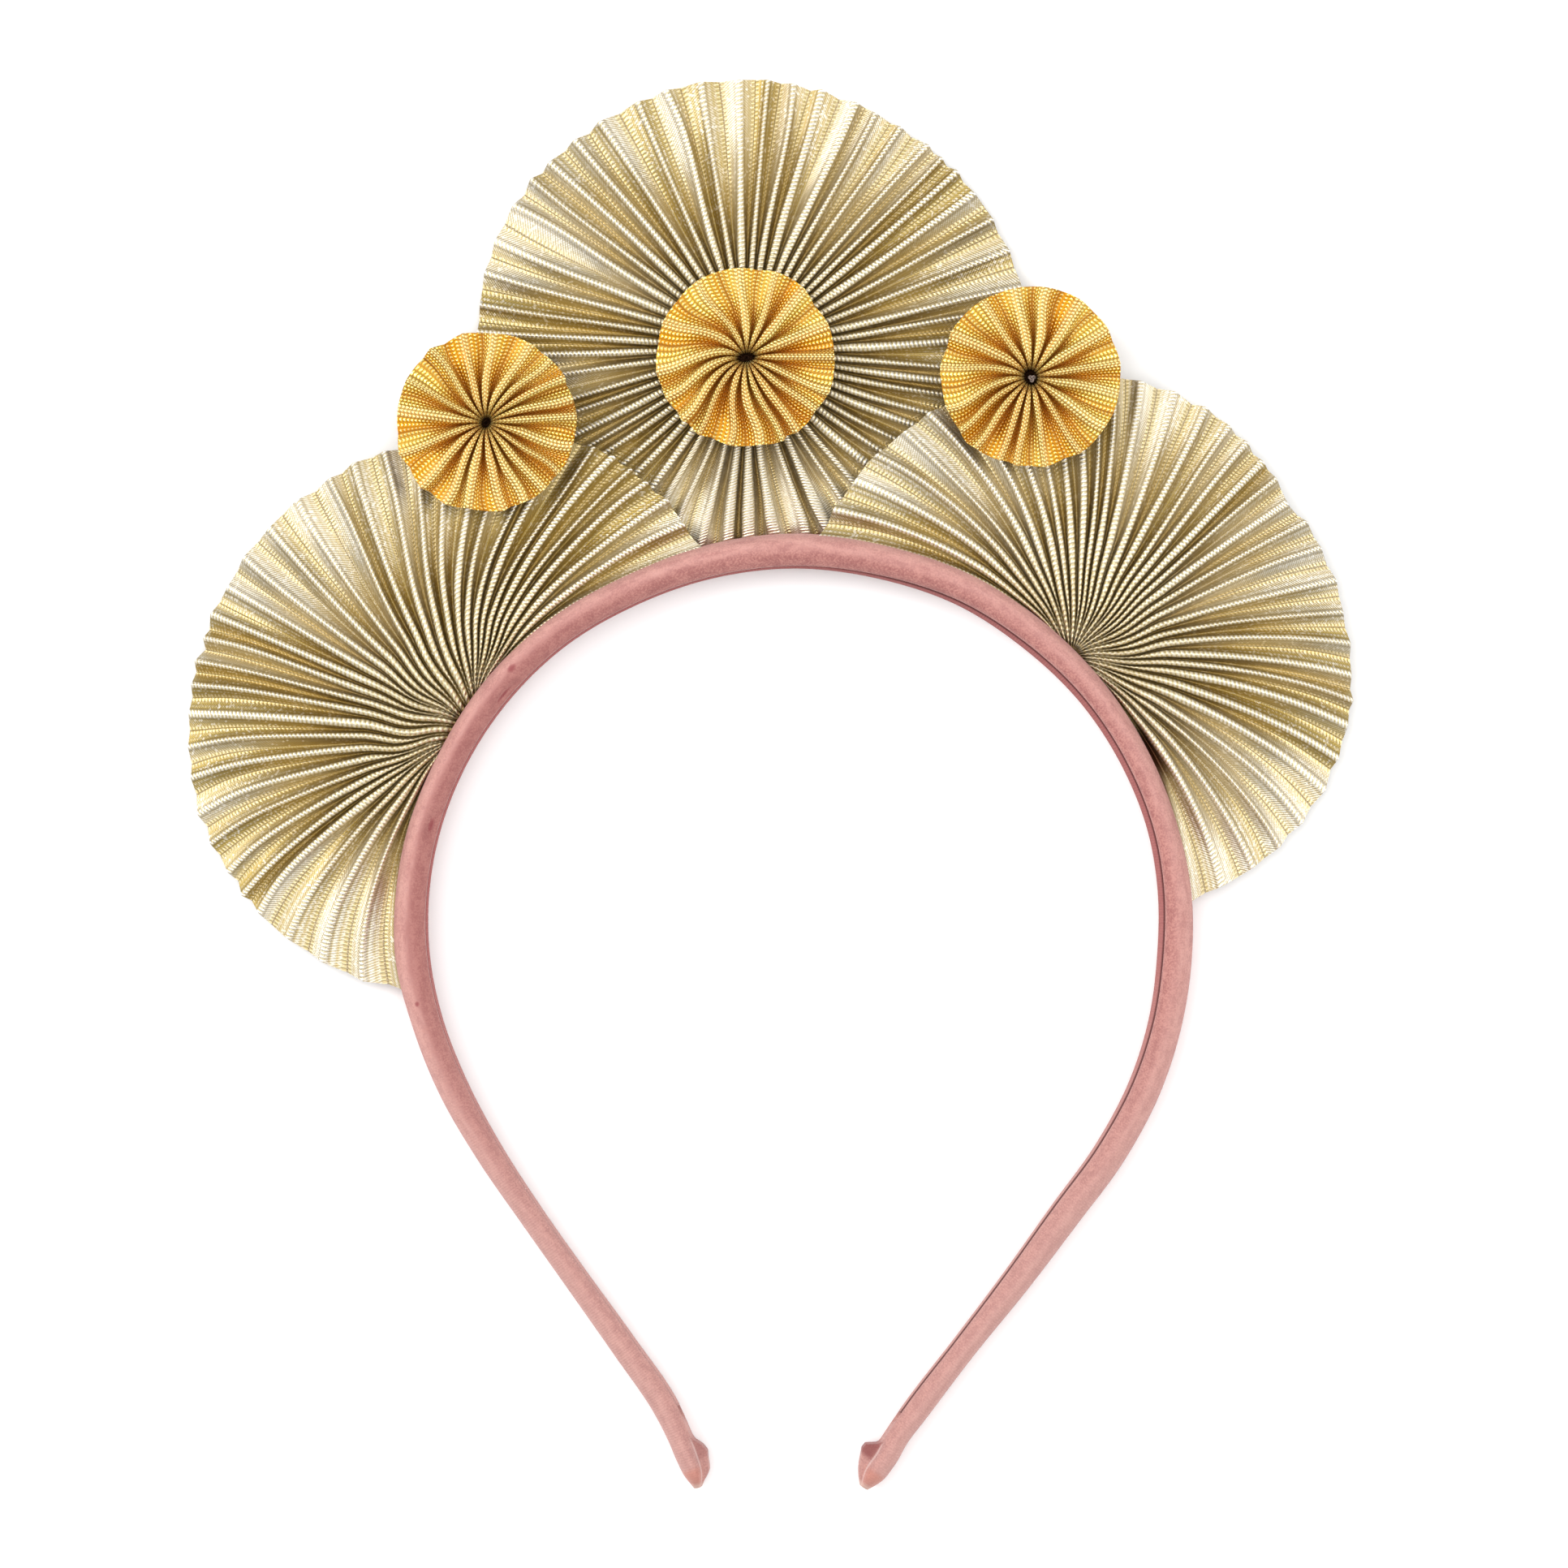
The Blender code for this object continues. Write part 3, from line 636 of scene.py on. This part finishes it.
def velvet_controls(half, deep, lean, recess, tucked):
    """Control points of the velvet's section in order round it, at all stations: across from the
    band's centre line and up from its back."""
    inner = -half - tucked
    side = tucked > CREASED
    front_edge = np.where(side, half * -0.80, half * -0.82 + 0.4 * lean)
    high, low = LINING_HIGH, LINING_LOW
    points = [
        (half * -0.55, 0.012 * deep),
        (half * 0.00, 0.010 * deep),
        (half * 0.52, 0.012 * deep),
        (half * 0.92, 0.13 * deep),
        (half * 1.02, 0.40 * deep),
        (half * 0.93, 0.70 * deep),
        (half * 0.60, 0.92 * deep),
        (half * 0.10, 1.005 * deep),
        (half * -0.42, 0.96 * deep),
        (front_edge, np.where(side, 0.66, 0.87) * deep),
        (inner + lean * high + 0.05, np.where(side, 0.60, high + 0.03) * deep),
        (inner + lean * high + recess, np.where(side, 0.52, high - 0.04) * deep),
        (inner + lean * 0.45 + recess, 0.45 * deep),
        (inner + lean * low + recess, (low + 0.03) * deep),
        (inner + lean * low, (low - 0.03) * deep),
        (inner * 0.84, 0.028 * deep),
    ]
    return np.array([np.broadcast_arrays(a, b) for a, b in points])


def closed_curve(controls, count):
    """COUNT points of the smooth closed curve through the control points."""
    total = controls.shape[0]
    at = np.arange(count) * total / count
    i = np.floor(at).astype(int)
    t = (at - i)[:, None, None]
    p0, p1, p2, p3 = (controls[(i + k) % total] for k in (-1, 0, 1, 2))
    square, cube = 2 * p0 - 5 * p1 + 4 * p2 - p3, 3 * p1 - p0 - 3 * p2 + p3
    return 0.5 * (2 * p1 + (p2 - p0) * t + square * t**2 + cube * t**3)


def tube_from_grid(name, x, y, z, along, material):
    """A closed skin from a grid, whose columns run along the piece and whose rings lie round it."""
    round_ = np.arange(x.shape[1]) / (x.shape[1] - 1)
    bm = grid_mesh(x, y, z, {"skin": np.broadcast_arrays(along[:, None], round_)})
    bmesh.ops.holes_fill(bm, edges=[edge for edge in bm.edges if edge.is_boundary], sides=0)
    bmesh.ops.recalc_face_normals(bm, faces=bm.faces[:])
    return add_piece(name, bm, material)


def tube_on_band(name, along, at, across, up, material):
    x = at.x[:, None] + at.out_x[:, None] * across
    y = at.y[:, None] + at.out_y[:, None] * across
    return tube_from_grid(name, x, y, up, along, material)


def make_velvet_band(material):
    tip = TIP_LENGTH * np.linspace(0, 1, TIP_STEPS) ** TIP_CROWDING
    middle = np.linspace(LEFT_END + TIP_LENGTH, RIGHT_END - TIP_LENGTH, VELVET_STEPS)[1:-1]
    along = np.concatenate([LEFT_END + tip, middle, (RIGHT_END - tip)[::-1]])
    at = band_at(along)
    from_end = np.minimum(along - LEFT_END, RIGHT_END - along)
    tips = np.array([row.from_end for row in TIP_FOLD])
    fold_left = np.interp(from_end, tips, [row.left for row in TIP_FOLD])
    fold_right = np.interp(from_end, tips, [row.right for row in TIP_FOLD])
    tucked = np.where(along < 0, fold_left, fold_right)
    covered = ease(0, 1, (from_end - LINING_STOP + GROOVE + RECESS_FADE) / RECESS_FADE)
    recess = RECESS + covered * (LINING_WALL + GROOVE)
    lean = inner_lean(along)
    section = closed_curve(velvet_controls(at.thick / 2, at.deep, lean, recess, tucked), VELVET_ROUND)
    section = np.concatenate([section, section[:1]])
    across, up = section[:, 0].T, section[:, 1].T
    rounding = 1 - (1 - np.clip(from_end / TIP_ROUNDING, 0, 1)) ** 2
    rounding = np.sqrt(np.clip(rounding, TIP_BLUNT, 1))[:, None]
    middle_up = at.deep[:, None] / 2
    up = middle_up + (up - middle_up) * rounding
    round_ = np.arange(VELVET_ROUND + 1) / VELVET_ROUND
    for pinch in PINCHES:
        near = ((along - pinch.along) / pinch.length)[:, None] ** 2
        near = near + ((round_ - pinch.round) * VELVET_GIRTH / pinch.width)[None, :] ** 2
        across = across + pinch.depth * np.exp(-near)
        up = up - 0.6 * pinch.depth * np.exp(-near)
    piece = tube_on_band("velvet_band", along, at, across, up, material)
    dress(piece, "headband")


def make_lining_strip(material):
    along = np.linspace(LEFT_END + LINING_STOP, RIGHT_END - LINING_STOP, LINING_STEPS)
    at = band_at(along)
    half = at.thick / 2
    lean = inner_lean(along)
    low, high = LINING_LOW * at.deep + GROOVE, LINING_HIGH * at.deep - GROOVE
    points = []
    for share, proud in [(0.0, 0.0), (0.08, 0.12), (0.5, 0.18), (0.92, 0.12), (1.0, 0.0)]:
        up = low + (high - low) * share
        points.append((-half + lean * up / at.deep - proud, up))
    for share in (0.97, 0.5, 0.03):
        up = low + (high - low) * share
        points.append((-half + lean * up / at.deep + LINING_WALL, up))
    points.append(points[0])
    across, up = np.array(points).transpose(1, 2, 0)
    piece = tube_on_band("lining_strip", along, at, across, up, material)
    dress(piece, "band_lining")


# Materials


class Nodes:
    """Adds nodes to a tree and joins them, left to right."""

    def __init__(self, tree):
        self.tree = tree

    def add(self, kind, **settings):
        node = self.tree.nodes.new(kind)
        for name, value in settings.items():
            setattr(node, name, value)
        return node

    def join(self, source, target):
        self.tree.links.new(source, target)

    def put(self, value, target):
        """Joins an output to a socket, or sets the socket to a number or colour."""
        if isinstance(value, bpy.types.NodeSocket):
            self.join(value, target)
        else:
            target.default_value = value

    def feed(self, node, values):
        """Puts the values into the node's inputs, each by its name."""
        for name, value in values.items():
            self.put(value, node.inputs[name])

    def math(self, operation, *values):
        node = self.add("ShaderNodeMath", operation=operation)
        for value, target in zip(values, node.inputs):
            self.put(value, target)
        return node.outputs[0]

    def step(self, low, high, value):
        """0 up to LOW and 1 from HIGH on, smooth between, or the other way if HIGH is less."""
        node = self.add("ShaderNodeMapRange", interpolation_type="SMOOTHSTEP")
        falling = high < low
        self.feed(node, {"Value": value, "From Min": min(low, high), "From Max": max(low, high)})
        self.feed(node, {"To Min": float(falling), "To Max": float(not falling)})
        return node.outputs["Result"]

    def mix(self, share, one, two):
        node = self.add("ShaderNodeMix", data_type="RGBA")
        self.put(share, node.inputs[0])
        self.put(one, node.inputs[6])
        self.put(two, node.inputs[7])
        return node.outputs[2]

    def between(self, share, low, high):
        """A number from LOW to HIGH."""
        return self.math("MULTIPLY_ADD", share, high - low, low)

    def noise(self, vector, scale, detail=2.0):
        node = self.add("ShaderNodeTexNoise")
        self.feed(node, {"Vector": vector, "Scale": scale, "Detail": detail})
        return node.outputs["Fac"]

    def vector(self, x, y, z=0.0):
        node = self.add("ShaderNodeCombineXYZ")
        for value, target in zip((x, y, z), node.inputs):
            self.put(value, target)
        return node.outputs[0]

    def place(self):
        return self.add("ShaderNodeTexCoord").outputs["Object"]

    def relief(self, height, strength, depth, shader):
        """Raises the shader's surface by HEIGHT, as bumps up to DEPTH metres high."""
        bump = self.add("ShaderNodeBump")
        self.feed(bump, {"Strength": strength, "Distance": depth, "Height": height})
        self.join(bump.outputs[0], shader.inputs["Normal"])

    def map_values(self, name):
        """The two numbers that a piece's own map holds."""
        split = self.add("ShaderNodeSeparateXYZ")
        self.join(self.add("ShaderNodeUVMap", uv_map=name).outputs[0], split.inputs[0])
        return split.outputs[0], split.outputs[1]

    def chain(self, operation, values):
        result = values[0]
        for value in values[1:]:
            result = self.math(operation, result, value)
        return result

    def times(self, *values):
        return self.chain("MULTIPLY", values)

    def plus(self, *values):
        return self.chain("ADD", values)

    def stripe(self, start, full, fading, end, value):
        """1 from FULL to FADING, 0 up to START and from END on, and smooth between."""
        return self.times(self.step(start, full, value), self.step(end, fading, value))

    def random(self, value):
        """A random number from 0 to 1 for each whole number."""
        node = self.add("ShaderNodeTexWhiteNoise", noise_dimensions="1D")
        self.join(value, node.inputs["W"])
        return node.outputs["Value"]

    def wave(self, value):
        """A wave from 0 to 1 that repeats each time VALUE grows by 1."""
        turn = self.math("MULTIPLY", value, math.tau)
        return self.math("MULTIPLY_ADD", self.math("SINE", turn), 0.5, 0.5)


class Paint:
    """A colour that others are laid over, each by the product of its shares."""

    def __init__(self, nodes, color):
        self.nodes = nodes
        self.color = color

    def over(self, color, *shares):
        self.color = self.nodes.mix(self.nodes.times(*shares), self.color, color)


def folded_weave_group():
    """Reads a pleated cloth's own maps. Puts out masks of the fold lines, the dots along them, the
    threads of the weave and their glitter, a number for each panel, and the maps' values."""
    group = bpy.data.node_groups.new("folded_weave", "ShaderNodeTree")
    for name in ("Fold Width", "Dot Pitch", "Thread Pitch", "Slant"):
        group.interface.new_socket(name, in_out="INPUT", socket_type="NodeSocketFloat")
    outputs = [
        "Ridge", "Beside Ridge", "Valley Rows", "Valley Line", "Dots", "Rows", "Herringbone", "Threads",
        "Glitter", "Panel", "From Ridge", "Along", "Light", "Hollow",
    ]
    for name in outputs:
        group.interface.new_socket(name, in_out="OUTPUT", socket_type="NodeSocketFloat")
    nodes = Nodes(group)
    given = nodes.add("NodeGroupInput").outputs
    times, plus, wave = nodes.times, nodes.plus, nodes.wave
    fold, along = nodes.map_values("cloth")
    light, hollow = nodes.map_values("light")
    pitch, thread_pitch = given["Dot Pitch"], given["Thread Pitch"]
    from_ridge = nodes.math("PINGPONG", fold, 1.0)
    width = times(from_ridge, given["Fold Width"])
    aside = times(nodes.math("WRAP", fold, 1.0, -1.0), given["Fold Width"])
    twisted = times(aside, given["Slant"])
    dots = wave(nodes.math("DIVIDE", plus(along, twisted), pitch))
    row = nodes.math("DIVIDE", width, pitch)
    zigzag = times(nodes.math("PINGPONG", row, 1.0), given["Slant"])
    dashes = wave(plus(nodes.math("DIVIDE", along, pitch), zigzag))
    rows = wave(plus(row, 0.25))
    herringbone = times(dashes, nodes.between(rows, 0.05, 1.0))
    thread = nodes.math("DIVIDE", plus(along, width), thread_pitch)
    crossing = nodes.math("DIVIDE", nodes.math("SUBTRACT", width, along), thread_pitch)
    threads = times(wave(thread), nodes.between(wave(crossing), 0.55, 1.0))
    glitter = nodes.add("ShaderNodeTexWhiteNoise", noise_dimensions="3D")
    cell = [nodes.math("FLOOR", value) for value in (thread, crossing, fold)]
    nodes.join(nodes.vector(*cell), glitter.inputs["Vector"])
    panel = nodes.random(nodes.math("FLOOR", fold))
    valley = nodes.random(nodes.math("FLOOR", times(fold, 0.5)))
    starts = nodes.between(valley, 5.0, 30.0)
    creased = nodes.step(0.0, 5.0, nodes.math("SUBTRACT", along, starts))
    near_valley = nodes.stripe(0.76, 0.83, 0.94, 0.98, from_ridge)
    values = [
        nodes.step(0.34, 0.16, from_ridge), nodes.stripe(0.22, 0.30, 0.34, 0.46, from_ridge),
        times(near_valley, creased), nodes.step(0.94, 0.985, from_ridge), dots, rows,
        herringbone, threads, glitter.outputs["Value"], panel, from_ridge, along, light, hollow,
    ]
    nodes.feed(nodes.add("NodeGroupOutput"), dict(zip(outputs, values)))
    return group


def new_material(name):
    material = bpy.data.materials.new(name)
    material.use_nodes = True
    return Nodes(material.node_tree), material, material.node_tree.nodes["Principled BSDF"]


def gold_lame(weave_group):
    nodes, material, shader = new_material("gold_lame")
    step, between, times = nodes.step, nodes.between, nodes.times
    weave = nodes.add("ShaderNodeGroup", node_tree=weave_group)
    nodes.feed(weave, {"Fold Width": 2.6, "Dot Pitch": 0.66, "Thread Pitch": 0.44, "Slant": 0.22})
    out = weave.outputs
    ridge, dots, threads, from_ridge = out["Ridge"], out["Dots"], out["Threads"], out["From Ridge"]
    panel, glitter, beside_valley = out["Panel"], out["Glitter"], out["Valley Rows"]
    patches = nodes.noise(nodes.place(), 130.0, 3.0)
    dull, champagne, twill = (0.37, 0.275, 0.088, 1), (0.62, 0.575, 0.47, 1), (0.40, 0.325, 0.17, 1)
    silver, gold, pale = (0.92, 0.88, 0.80, 1), (0.84, 0.70, 0.40, 1), (0.81, 0.705, 0.465, 1)
    deep, brown, dark = (0.43, 0.30, 0.065, 1), (0.15, 0.09, 0.025, 1), (0.12, 0.04, 0.018, 1)
    gathered = step(26.0, 4.0, out["Along"])
    spread = nodes.math("SUBTRACT", 1.0, gathered)

    # The panels, painted brighter where the light map gives them a painted shine, and whose weave shows
    # most where they shine
    tone = nodes.plus(times(out["Light"], 0.85), times(panel, 0.50), times(patches, 0.40))
    tone = step(0.50, 1.22, tone)
    paint = Paint(nodes, nodes.mix(tone, dull, champagne))
    paint.over(silver, threads, between(tone, 0.12, 0.90))
    paint.over(twill, step(0.40, 0.05, threads), between(tone, 0.22, 0.50))
    rows = times(out["Rows"], between(dots, 0.35, 1.0), between(panel, 0.75, 0.15))
    paint.over(silver, step(0.25, 0.75, rows), 0.55)
    paint.over(deep, step(0.45, 0.05, out["Rows"]), between(panel, 0.45, 0.15))
    # Painted glints: single thread cells painted silver, and a few flecks painted darker
    paint.over(silver, step(0.86, 0.97, glitter), 0.70)
    paint.over(deep, step(0.12, 0.03, glitter), 0.25)

    # The valleys, darkened with painted shade and a painted shadow line along their bottom, with a
    # dotted row beside their bottom where the folds are spread
    paint.over(deep, step(0.22, 1.0, from_ridge), between(gathered, 0.42, 0.47))
    paint.over(gold, beside_valley, between(dots, 0.10, 0.9), spread)
    paint.over(deep, beside_valley, step(0.35, 0.05, dots), spread, 0.4)
    paint.over(brown, out["Valley Line"], 0.55)

    # The ridges, with a painted shadow line beside them, dotted and silvery as the weave's dots under a
    # painted highlight along the crests, and more golden at the gather
    paint.over(brown, out["Beside Ridge"], 0.30)
    paint.over(pale, ridge, between(dots, 0.66, 1.0))
    paint.over(silver, ridge, step(0.35, 0.8, dots), between(gathered, 1.0, 0.32))
    paint.over(dull, ridge, step(0.25, 0.0, dots), step(0.05, 0.14, from_ridge), 0.6)
    paint.over(dull, ridge, step(0.40, 0.15, glitter), between(gathered, 0.2, 0.7), 0.6)

    # Painted shade at the gathered edge and in the hollows
    paint.over(brown, step(1.6, 0.1, out["Along"]))
    paint.over(dark, out["Hollow"])

    rough = between(threads, 0.48, 0.33)
    nodes.feed(shader, {"Base Color": paint.color, "Metallic": 0.94, "Roughness": rough})
    lines = nodes.math("MAXIMUM", ridge, beside_valley)
    flat = times(threads, nodes.math("SUBTRACT", 1.0, lines))
    height = nodes.plus(times(dots, lines), times(flat, 0.4), times(rows, 0.5))
    nodes.relief(nodes.plus(height, times(glitter, 0.30)), 0.7, 0.00012, shader)
    return material


def gold_ribbon(weave_group):
    nodes, material, shader = new_material("gold_ribbon")
    weave = nodes.add("ShaderNodeGroup", node_tree=weave_group)
    nodes.feed(weave, {"Fold Width": 2.7, "Dot Pitch": 0.60, "Thread Pitch": 0.30, "Slant": 0.55})
    out = weave.outputs
    dashes, from_ridge, along = out["Herringbone"], out["From Ridge"], out["Along"]
    patches = nodes.noise(nodes.place(), 160.0)
    amber, yellow, light = (1.0, 0.50, 0.012, 1), (1.0, 0.75, 0.13, 1), (1.0, 0.92, 0.47, 1)
    valley_shade, russet = (0.40, 0.13, 0.004, 1), (0.27, 0.09, 0.004, 1)
    brown, dark = (0.16, 0.045, 0.004, 1), (0.045, 0.018, 0.008, 1)
    hub = nodes.step(9.0, 0.5, along)
    tone = nodes.plus(nodes.times(out["Panel"], 0.6), nodes.times(patches, 0.7))
    paint = Paint(nodes, nodes.mix(nodes.step(0.40, 0.90, tone), amber, yellow))
    # A painted highlight beside the ridges, then the weave's pale dashes and their dark gaps
    paint.over(light, nodes.step(0.50, 0.15, from_ridge), 0.45)
    paint.over(light, nodes.step(0.42, 0.80, dashes))
    paint.over(russet, nodes.step(0.28, 0.06, dashes), 0.78)
    # Painted shade down the panels towards the valleys, most at the hub, a painted shadow line along
    # the valleys near the hub, and painted shade filling the hole in the middle
    paint.over(valley_shade, nodes.step(0.45, 0.98, from_ridge), nodes.between(hub, 0.50, 0.92))
    paint.over(brown, out["Valley Line"], nodes.between(hub, 0.50, 0.70))
    paint.over(dark, nodes.step(0.35, -0.05, along))
    rough = nodes.between(dashes, 0.46, 0.28)
    nodes.feed(shader, {"Base Color": paint.color, "Metallic": 0.80, "Roughness": rough})
    nodes.relief(dashes, 0.8, 0.00016, shader)
    return material


def pink_velvet():
    """The skin's map runs along the band in mm and round its section: 0.3 to 0.5 is the front,
    which the fans' side meets at 0.25, and 0.64 to 0.86 the recess that the lining lies in."""
    nodes, material, shader = new_material("pink_velvet")
    step, stripe, times, plus = nodes.step, nodes.stripe, nodes.times, nodes.plus
    along, round_ = nodes.map_values("skin")
    place = nodes.place()
    pile = nodes.noise(place, 3600.0, 3.0)
    clumps = nodes.noise(place, 800.0, 3.0)
    streaks = nodes.noise(nodes.vector(times(along, 0.2), times(round_, 20.0)), 1.0, 3.0)
    rose, dusty, lit = (0.53, 0.25, 0.215, 1), (0.33, 0.13, 0.12, 1), (0.62, 0.36, 0.32, 1)
    shade, gray, pale_edge_line = (0.28, 0.098, 0.09, 1), (0.50, 0.32, 0.285, 1), (0.55, 0.46, 0.46, 1)
    wine, dark_red, dark = (0.22, 0.035, 0.045, 1), (0.20, 0.05, 0.05, 1), (0.09, 0.03, 0.03, 1)
    turned, edge_light, worn_end = (0.46, 0.17, 0.12, 1), (0.62, 0.45, 0.42, 1), (0.62, 0.46, 0.38, 1)
    from_crown = nodes.math("ABSOLUTE", along)
    from_end = nodes.math(
        "MINIMUM", nodes.math("SUBTRACT", along, LEFT_END), nodes.math("SUBTRACT", RIGHT_END, along)
    )

    # The pile, with a painted highlight along the top, grayer and ribbed on the legs
    tone = plus(times(pile, 0.50), times(clumps, 0.28), times(streaks, 0.22))
    paint = Paint(nodes, nodes.mix(step(0.38, 0.62, tone), dusty, rose))
    paint.over(lit, stripe(0.28, 0.38, 0.42, 0.50, round_), nodes.between(streaks, 0.05, 0.65))
    legs = step(*LEGS, from_crown)
    paint.over(gray, legs, 0.38)
    ribs = nodes.wave(nodes.math("DIVIDE", along, 0.42))
    paint.over(dusty, ribs, legs, 0.14)

    # Painted shade towards the inner side, most on the left, and the ground weave worn bare at the
    # crown
    stray = plus(times(clumps, 0.07), times(pile, 0.07))
    edge = plus(round_, nodes.math("SUBTRACT", stray, 0.07))
    left = step(-15.0, -55.0, along)
    inner_shade = times(step(0.405, 0.455, edge), nodes.between(left, 0.12, 0.50))
    paint.over(shade, inner_shade, step(150.0, 100.0, from_crown))
    crown = times(step(60.0, 25.0, from_crown), step(0.43, 0.50, round_))
    zigzag = nodes.math("PINGPONG", times(round_, 26.0), 1.0)
    weave = nodes.wave(plus(nodes.math("DIVIDE", along, 0.75), zigzag))
    paint.over(shade, crown, weave, 0.28)

    # Painted shade in the places where the velvet is caught
    for pinch in PINCHES:
        run = nodes.math("DIVIDE", nodes.math("SUBTRACT", along, pinch.along), pinch.length * 0.7)
        side = times(nodes.math("SUBTRACT", round_, pinch.round), 34 / pinch.width)
        apart = plus(nodes.math("POWER", run, 2.0), nodes.math("POWER", side, 2.0))
        caught = step(1.1, 0.15, plus(apart, times(pile, 0.4)))
        paint.over(wine, caught, 0.70)

    # A pale gray line along the edge over the lining, and painted shade in the groove beside it
    lined = step(LINING_STOP - 1.0, LINING_STOP + 1.0, from_end)
    paint.over(pale_edge_line, stripe(0.595, 0.61, 0.618, 0.632, round_), lined, 0.6)
    paint.over(dark, stripe(0.635, 0.65, 0.86, 0.88, round_), lined, 0.85)

    # The folded tips: the turned end, the painted shade under the fold, a painted highlight along its
    # crease and the worn end
    paint.over(turned, step(3.8, 2.6, from_end), step(0.60, 0.52, round_), 0.55)
    under = times(step(0.545, 0.575, round_), stripe(3.6, 4.8, 6.8, 8.2, from_end))
    paint.over(dark_red, under, nodes.between(step(-20.0, 20.0, along), 0.35, 0.75))
    crease = stripe(0.535, 0.545, 0.552, 0.562, round_)
    paint.over(edge_light, crease, step(8.5, 6.5, from_end), 0.6)
    paint.over(worn_end, step(1.1, 0.2, from_end), 0.5)

    nodes.feed(shader, {"Base Color": paint.color, "Roughness": 0.88, "Specular IOR Level": 0.15})
    nodes.feed(shader, {"Sheen Weight": 0.30, "Sheen Roughness": 0.45})
    nodes.feed(shader, {"Sheen Tint": (0.92, 0.74, 0.72, 1)})
    height = plus(times(ribs, legs, 0.35), pile, times(weave, crown, 0.4))
    nodes.relief(height, 0.7, 0.00014, shader)
    return material


def lining_cloth():
    nodes, material, shader = new_material("lining_cloth")
    along, round_ = nodes.map_values("skin")
    ribs = nodes.wave(nodes.math("DIVIDE", along, 0.45))
    fuzz = nodes.noise(nodes.place(), 1800.0, 2.0)
    dark, shade, pink = (0.09, 0.03, 0.03, 1), (0.28, 0.085, 0.085, 1), (0.44, 0.165, 0.15, 1)
    paint = Paint(nodes, nodes.mix(fuzz, shade, pink))
    legs = nodes.step(*LEGS, nodes.math("ABSOLUTE", along))
    paint.over((0.52, 0.31, 0.28, 1), legs, 0.85)
    # Painted shade: the dark line along its front edge, from the crown to the right
    paint.over(dark, nodes.step(0.32, 0.40, round_), nodes.step(-5.0, 25.0, along), 0.85)
    nodes.feed(shader, {"Base Color": paint.color, "Roughness": 0.9, "Specular IOR Level": 0.1})
    nodes.relief(nodes.plus(ribs, fuzz), 0.5, 0.0001, shader)
    return material


def gray_thread():
    nodes, material, shader = new_material("gray_thread")
    along, round_ = nodes.map_values("skin")
    plies = nodes.wave(nodes.plus(nodes.times(along, 6.0), round_))
    color = nodes.mix(plies, (0.09, 0.055, 0.04, 1), (0.36, 0.30, 0.28, 1))
    nodes.feed(shader, {"Base Color": color, "Roughness": 0.7})
    return material


def floor_material():
    nodes, material, shader = new_material("pale_floor")
    grain = nodes.noise(nodes.place(), 60.0)
    color = nodes.mix(grain, (0.96, 0.96, 0.96, 1), (0.98, 0.98, 0.98, 1))
    nodes.feed(shader, {"Base Color": color, "Roughness": 0.9, "Specular IOR Level": 0.0})
    return material


def make_floor():
    bm = bmesh.new()
    bmesh.ops.create_grid(bm, x_segments=1, y_segments=1, size=FLOOR_SIZE / 2 * MM)
    bmesh.ops.translate(bm, vec=(0, 0, -FLOOR_DROP * MM), verts=bm.verts[:])
    add_piece("floor", bm, floor_material(), smooth=False)


def make_lights():
    for softbox in SOFTBOXES:
        data = bpy.data.lights.new(softbox.name, "AREA")
        data.shape = "SQUARE"
        data.size = softbox.size * MM
        data.energy = softbox.power
        light = bpy.data.objects.new(softbox.name, data)
        light.location = (softbox.x * MM, softbox.y * MM, softbox.z * MM)
        light.rotation_mode = "QUATERNION"
        light.rotation_quaternion = (-light.location).to_track_quat("-Z", "Y")
        light.visible_camera = False
        bpy.context.scene.collection.objects.link(light)
    world = bpy.data.worlds.new("studio")
    world.use_nodes = True
    background = world.node_tree.nodes["Background"]
    background.inputs["Color"].default_value = (1.0, 1.0, 1.0, 1.0)
    background.inputs["Strength"].default_value = WORLD_STRENGTH
    bpy.context.scene.world = world
    bpy.context.scene.view_settings.view_transform = "Standard"


def make_camera():
    data = bpy.data.cameras.new("camera")
    data.lens = data.sensor_width * (CAMERA_HEIGHT - FANS_HEIGHT) / PICTURE_WIDTH
    data.clip_start = 10.0 * MM
    camera = bpy.data.objects.new("camera", data)
    camera.location = (CAMERA_X * MM, 0.0, CAMERA_HEIGHT * MM)
    bpy.context.scene.collection.objects.link(camera)
    bpy.context.scene.camera = camera


def main():
    make_camera()
    weave = folded_weave_group()
    make_velvet_band(pink_velvet())
    make_lining_strip(lining_cloth())
    lame = gold_lame(weave)
    make_lame_fan(FAN_CENTER, plan_center, True, lame)
    make_lame_fan(FAN_LEFT, plan_side, False, lame)
    make_lame_fan(FAN_RIGHT, plan_side, False, lame)
    ribbon = gold_ribbon(weave)
    for rosette in ROSETTES:
        make_rosette(rosette, ribbon)
    make_thread_knot(gray_thread())
    make_floor()
    make_lights()


main()
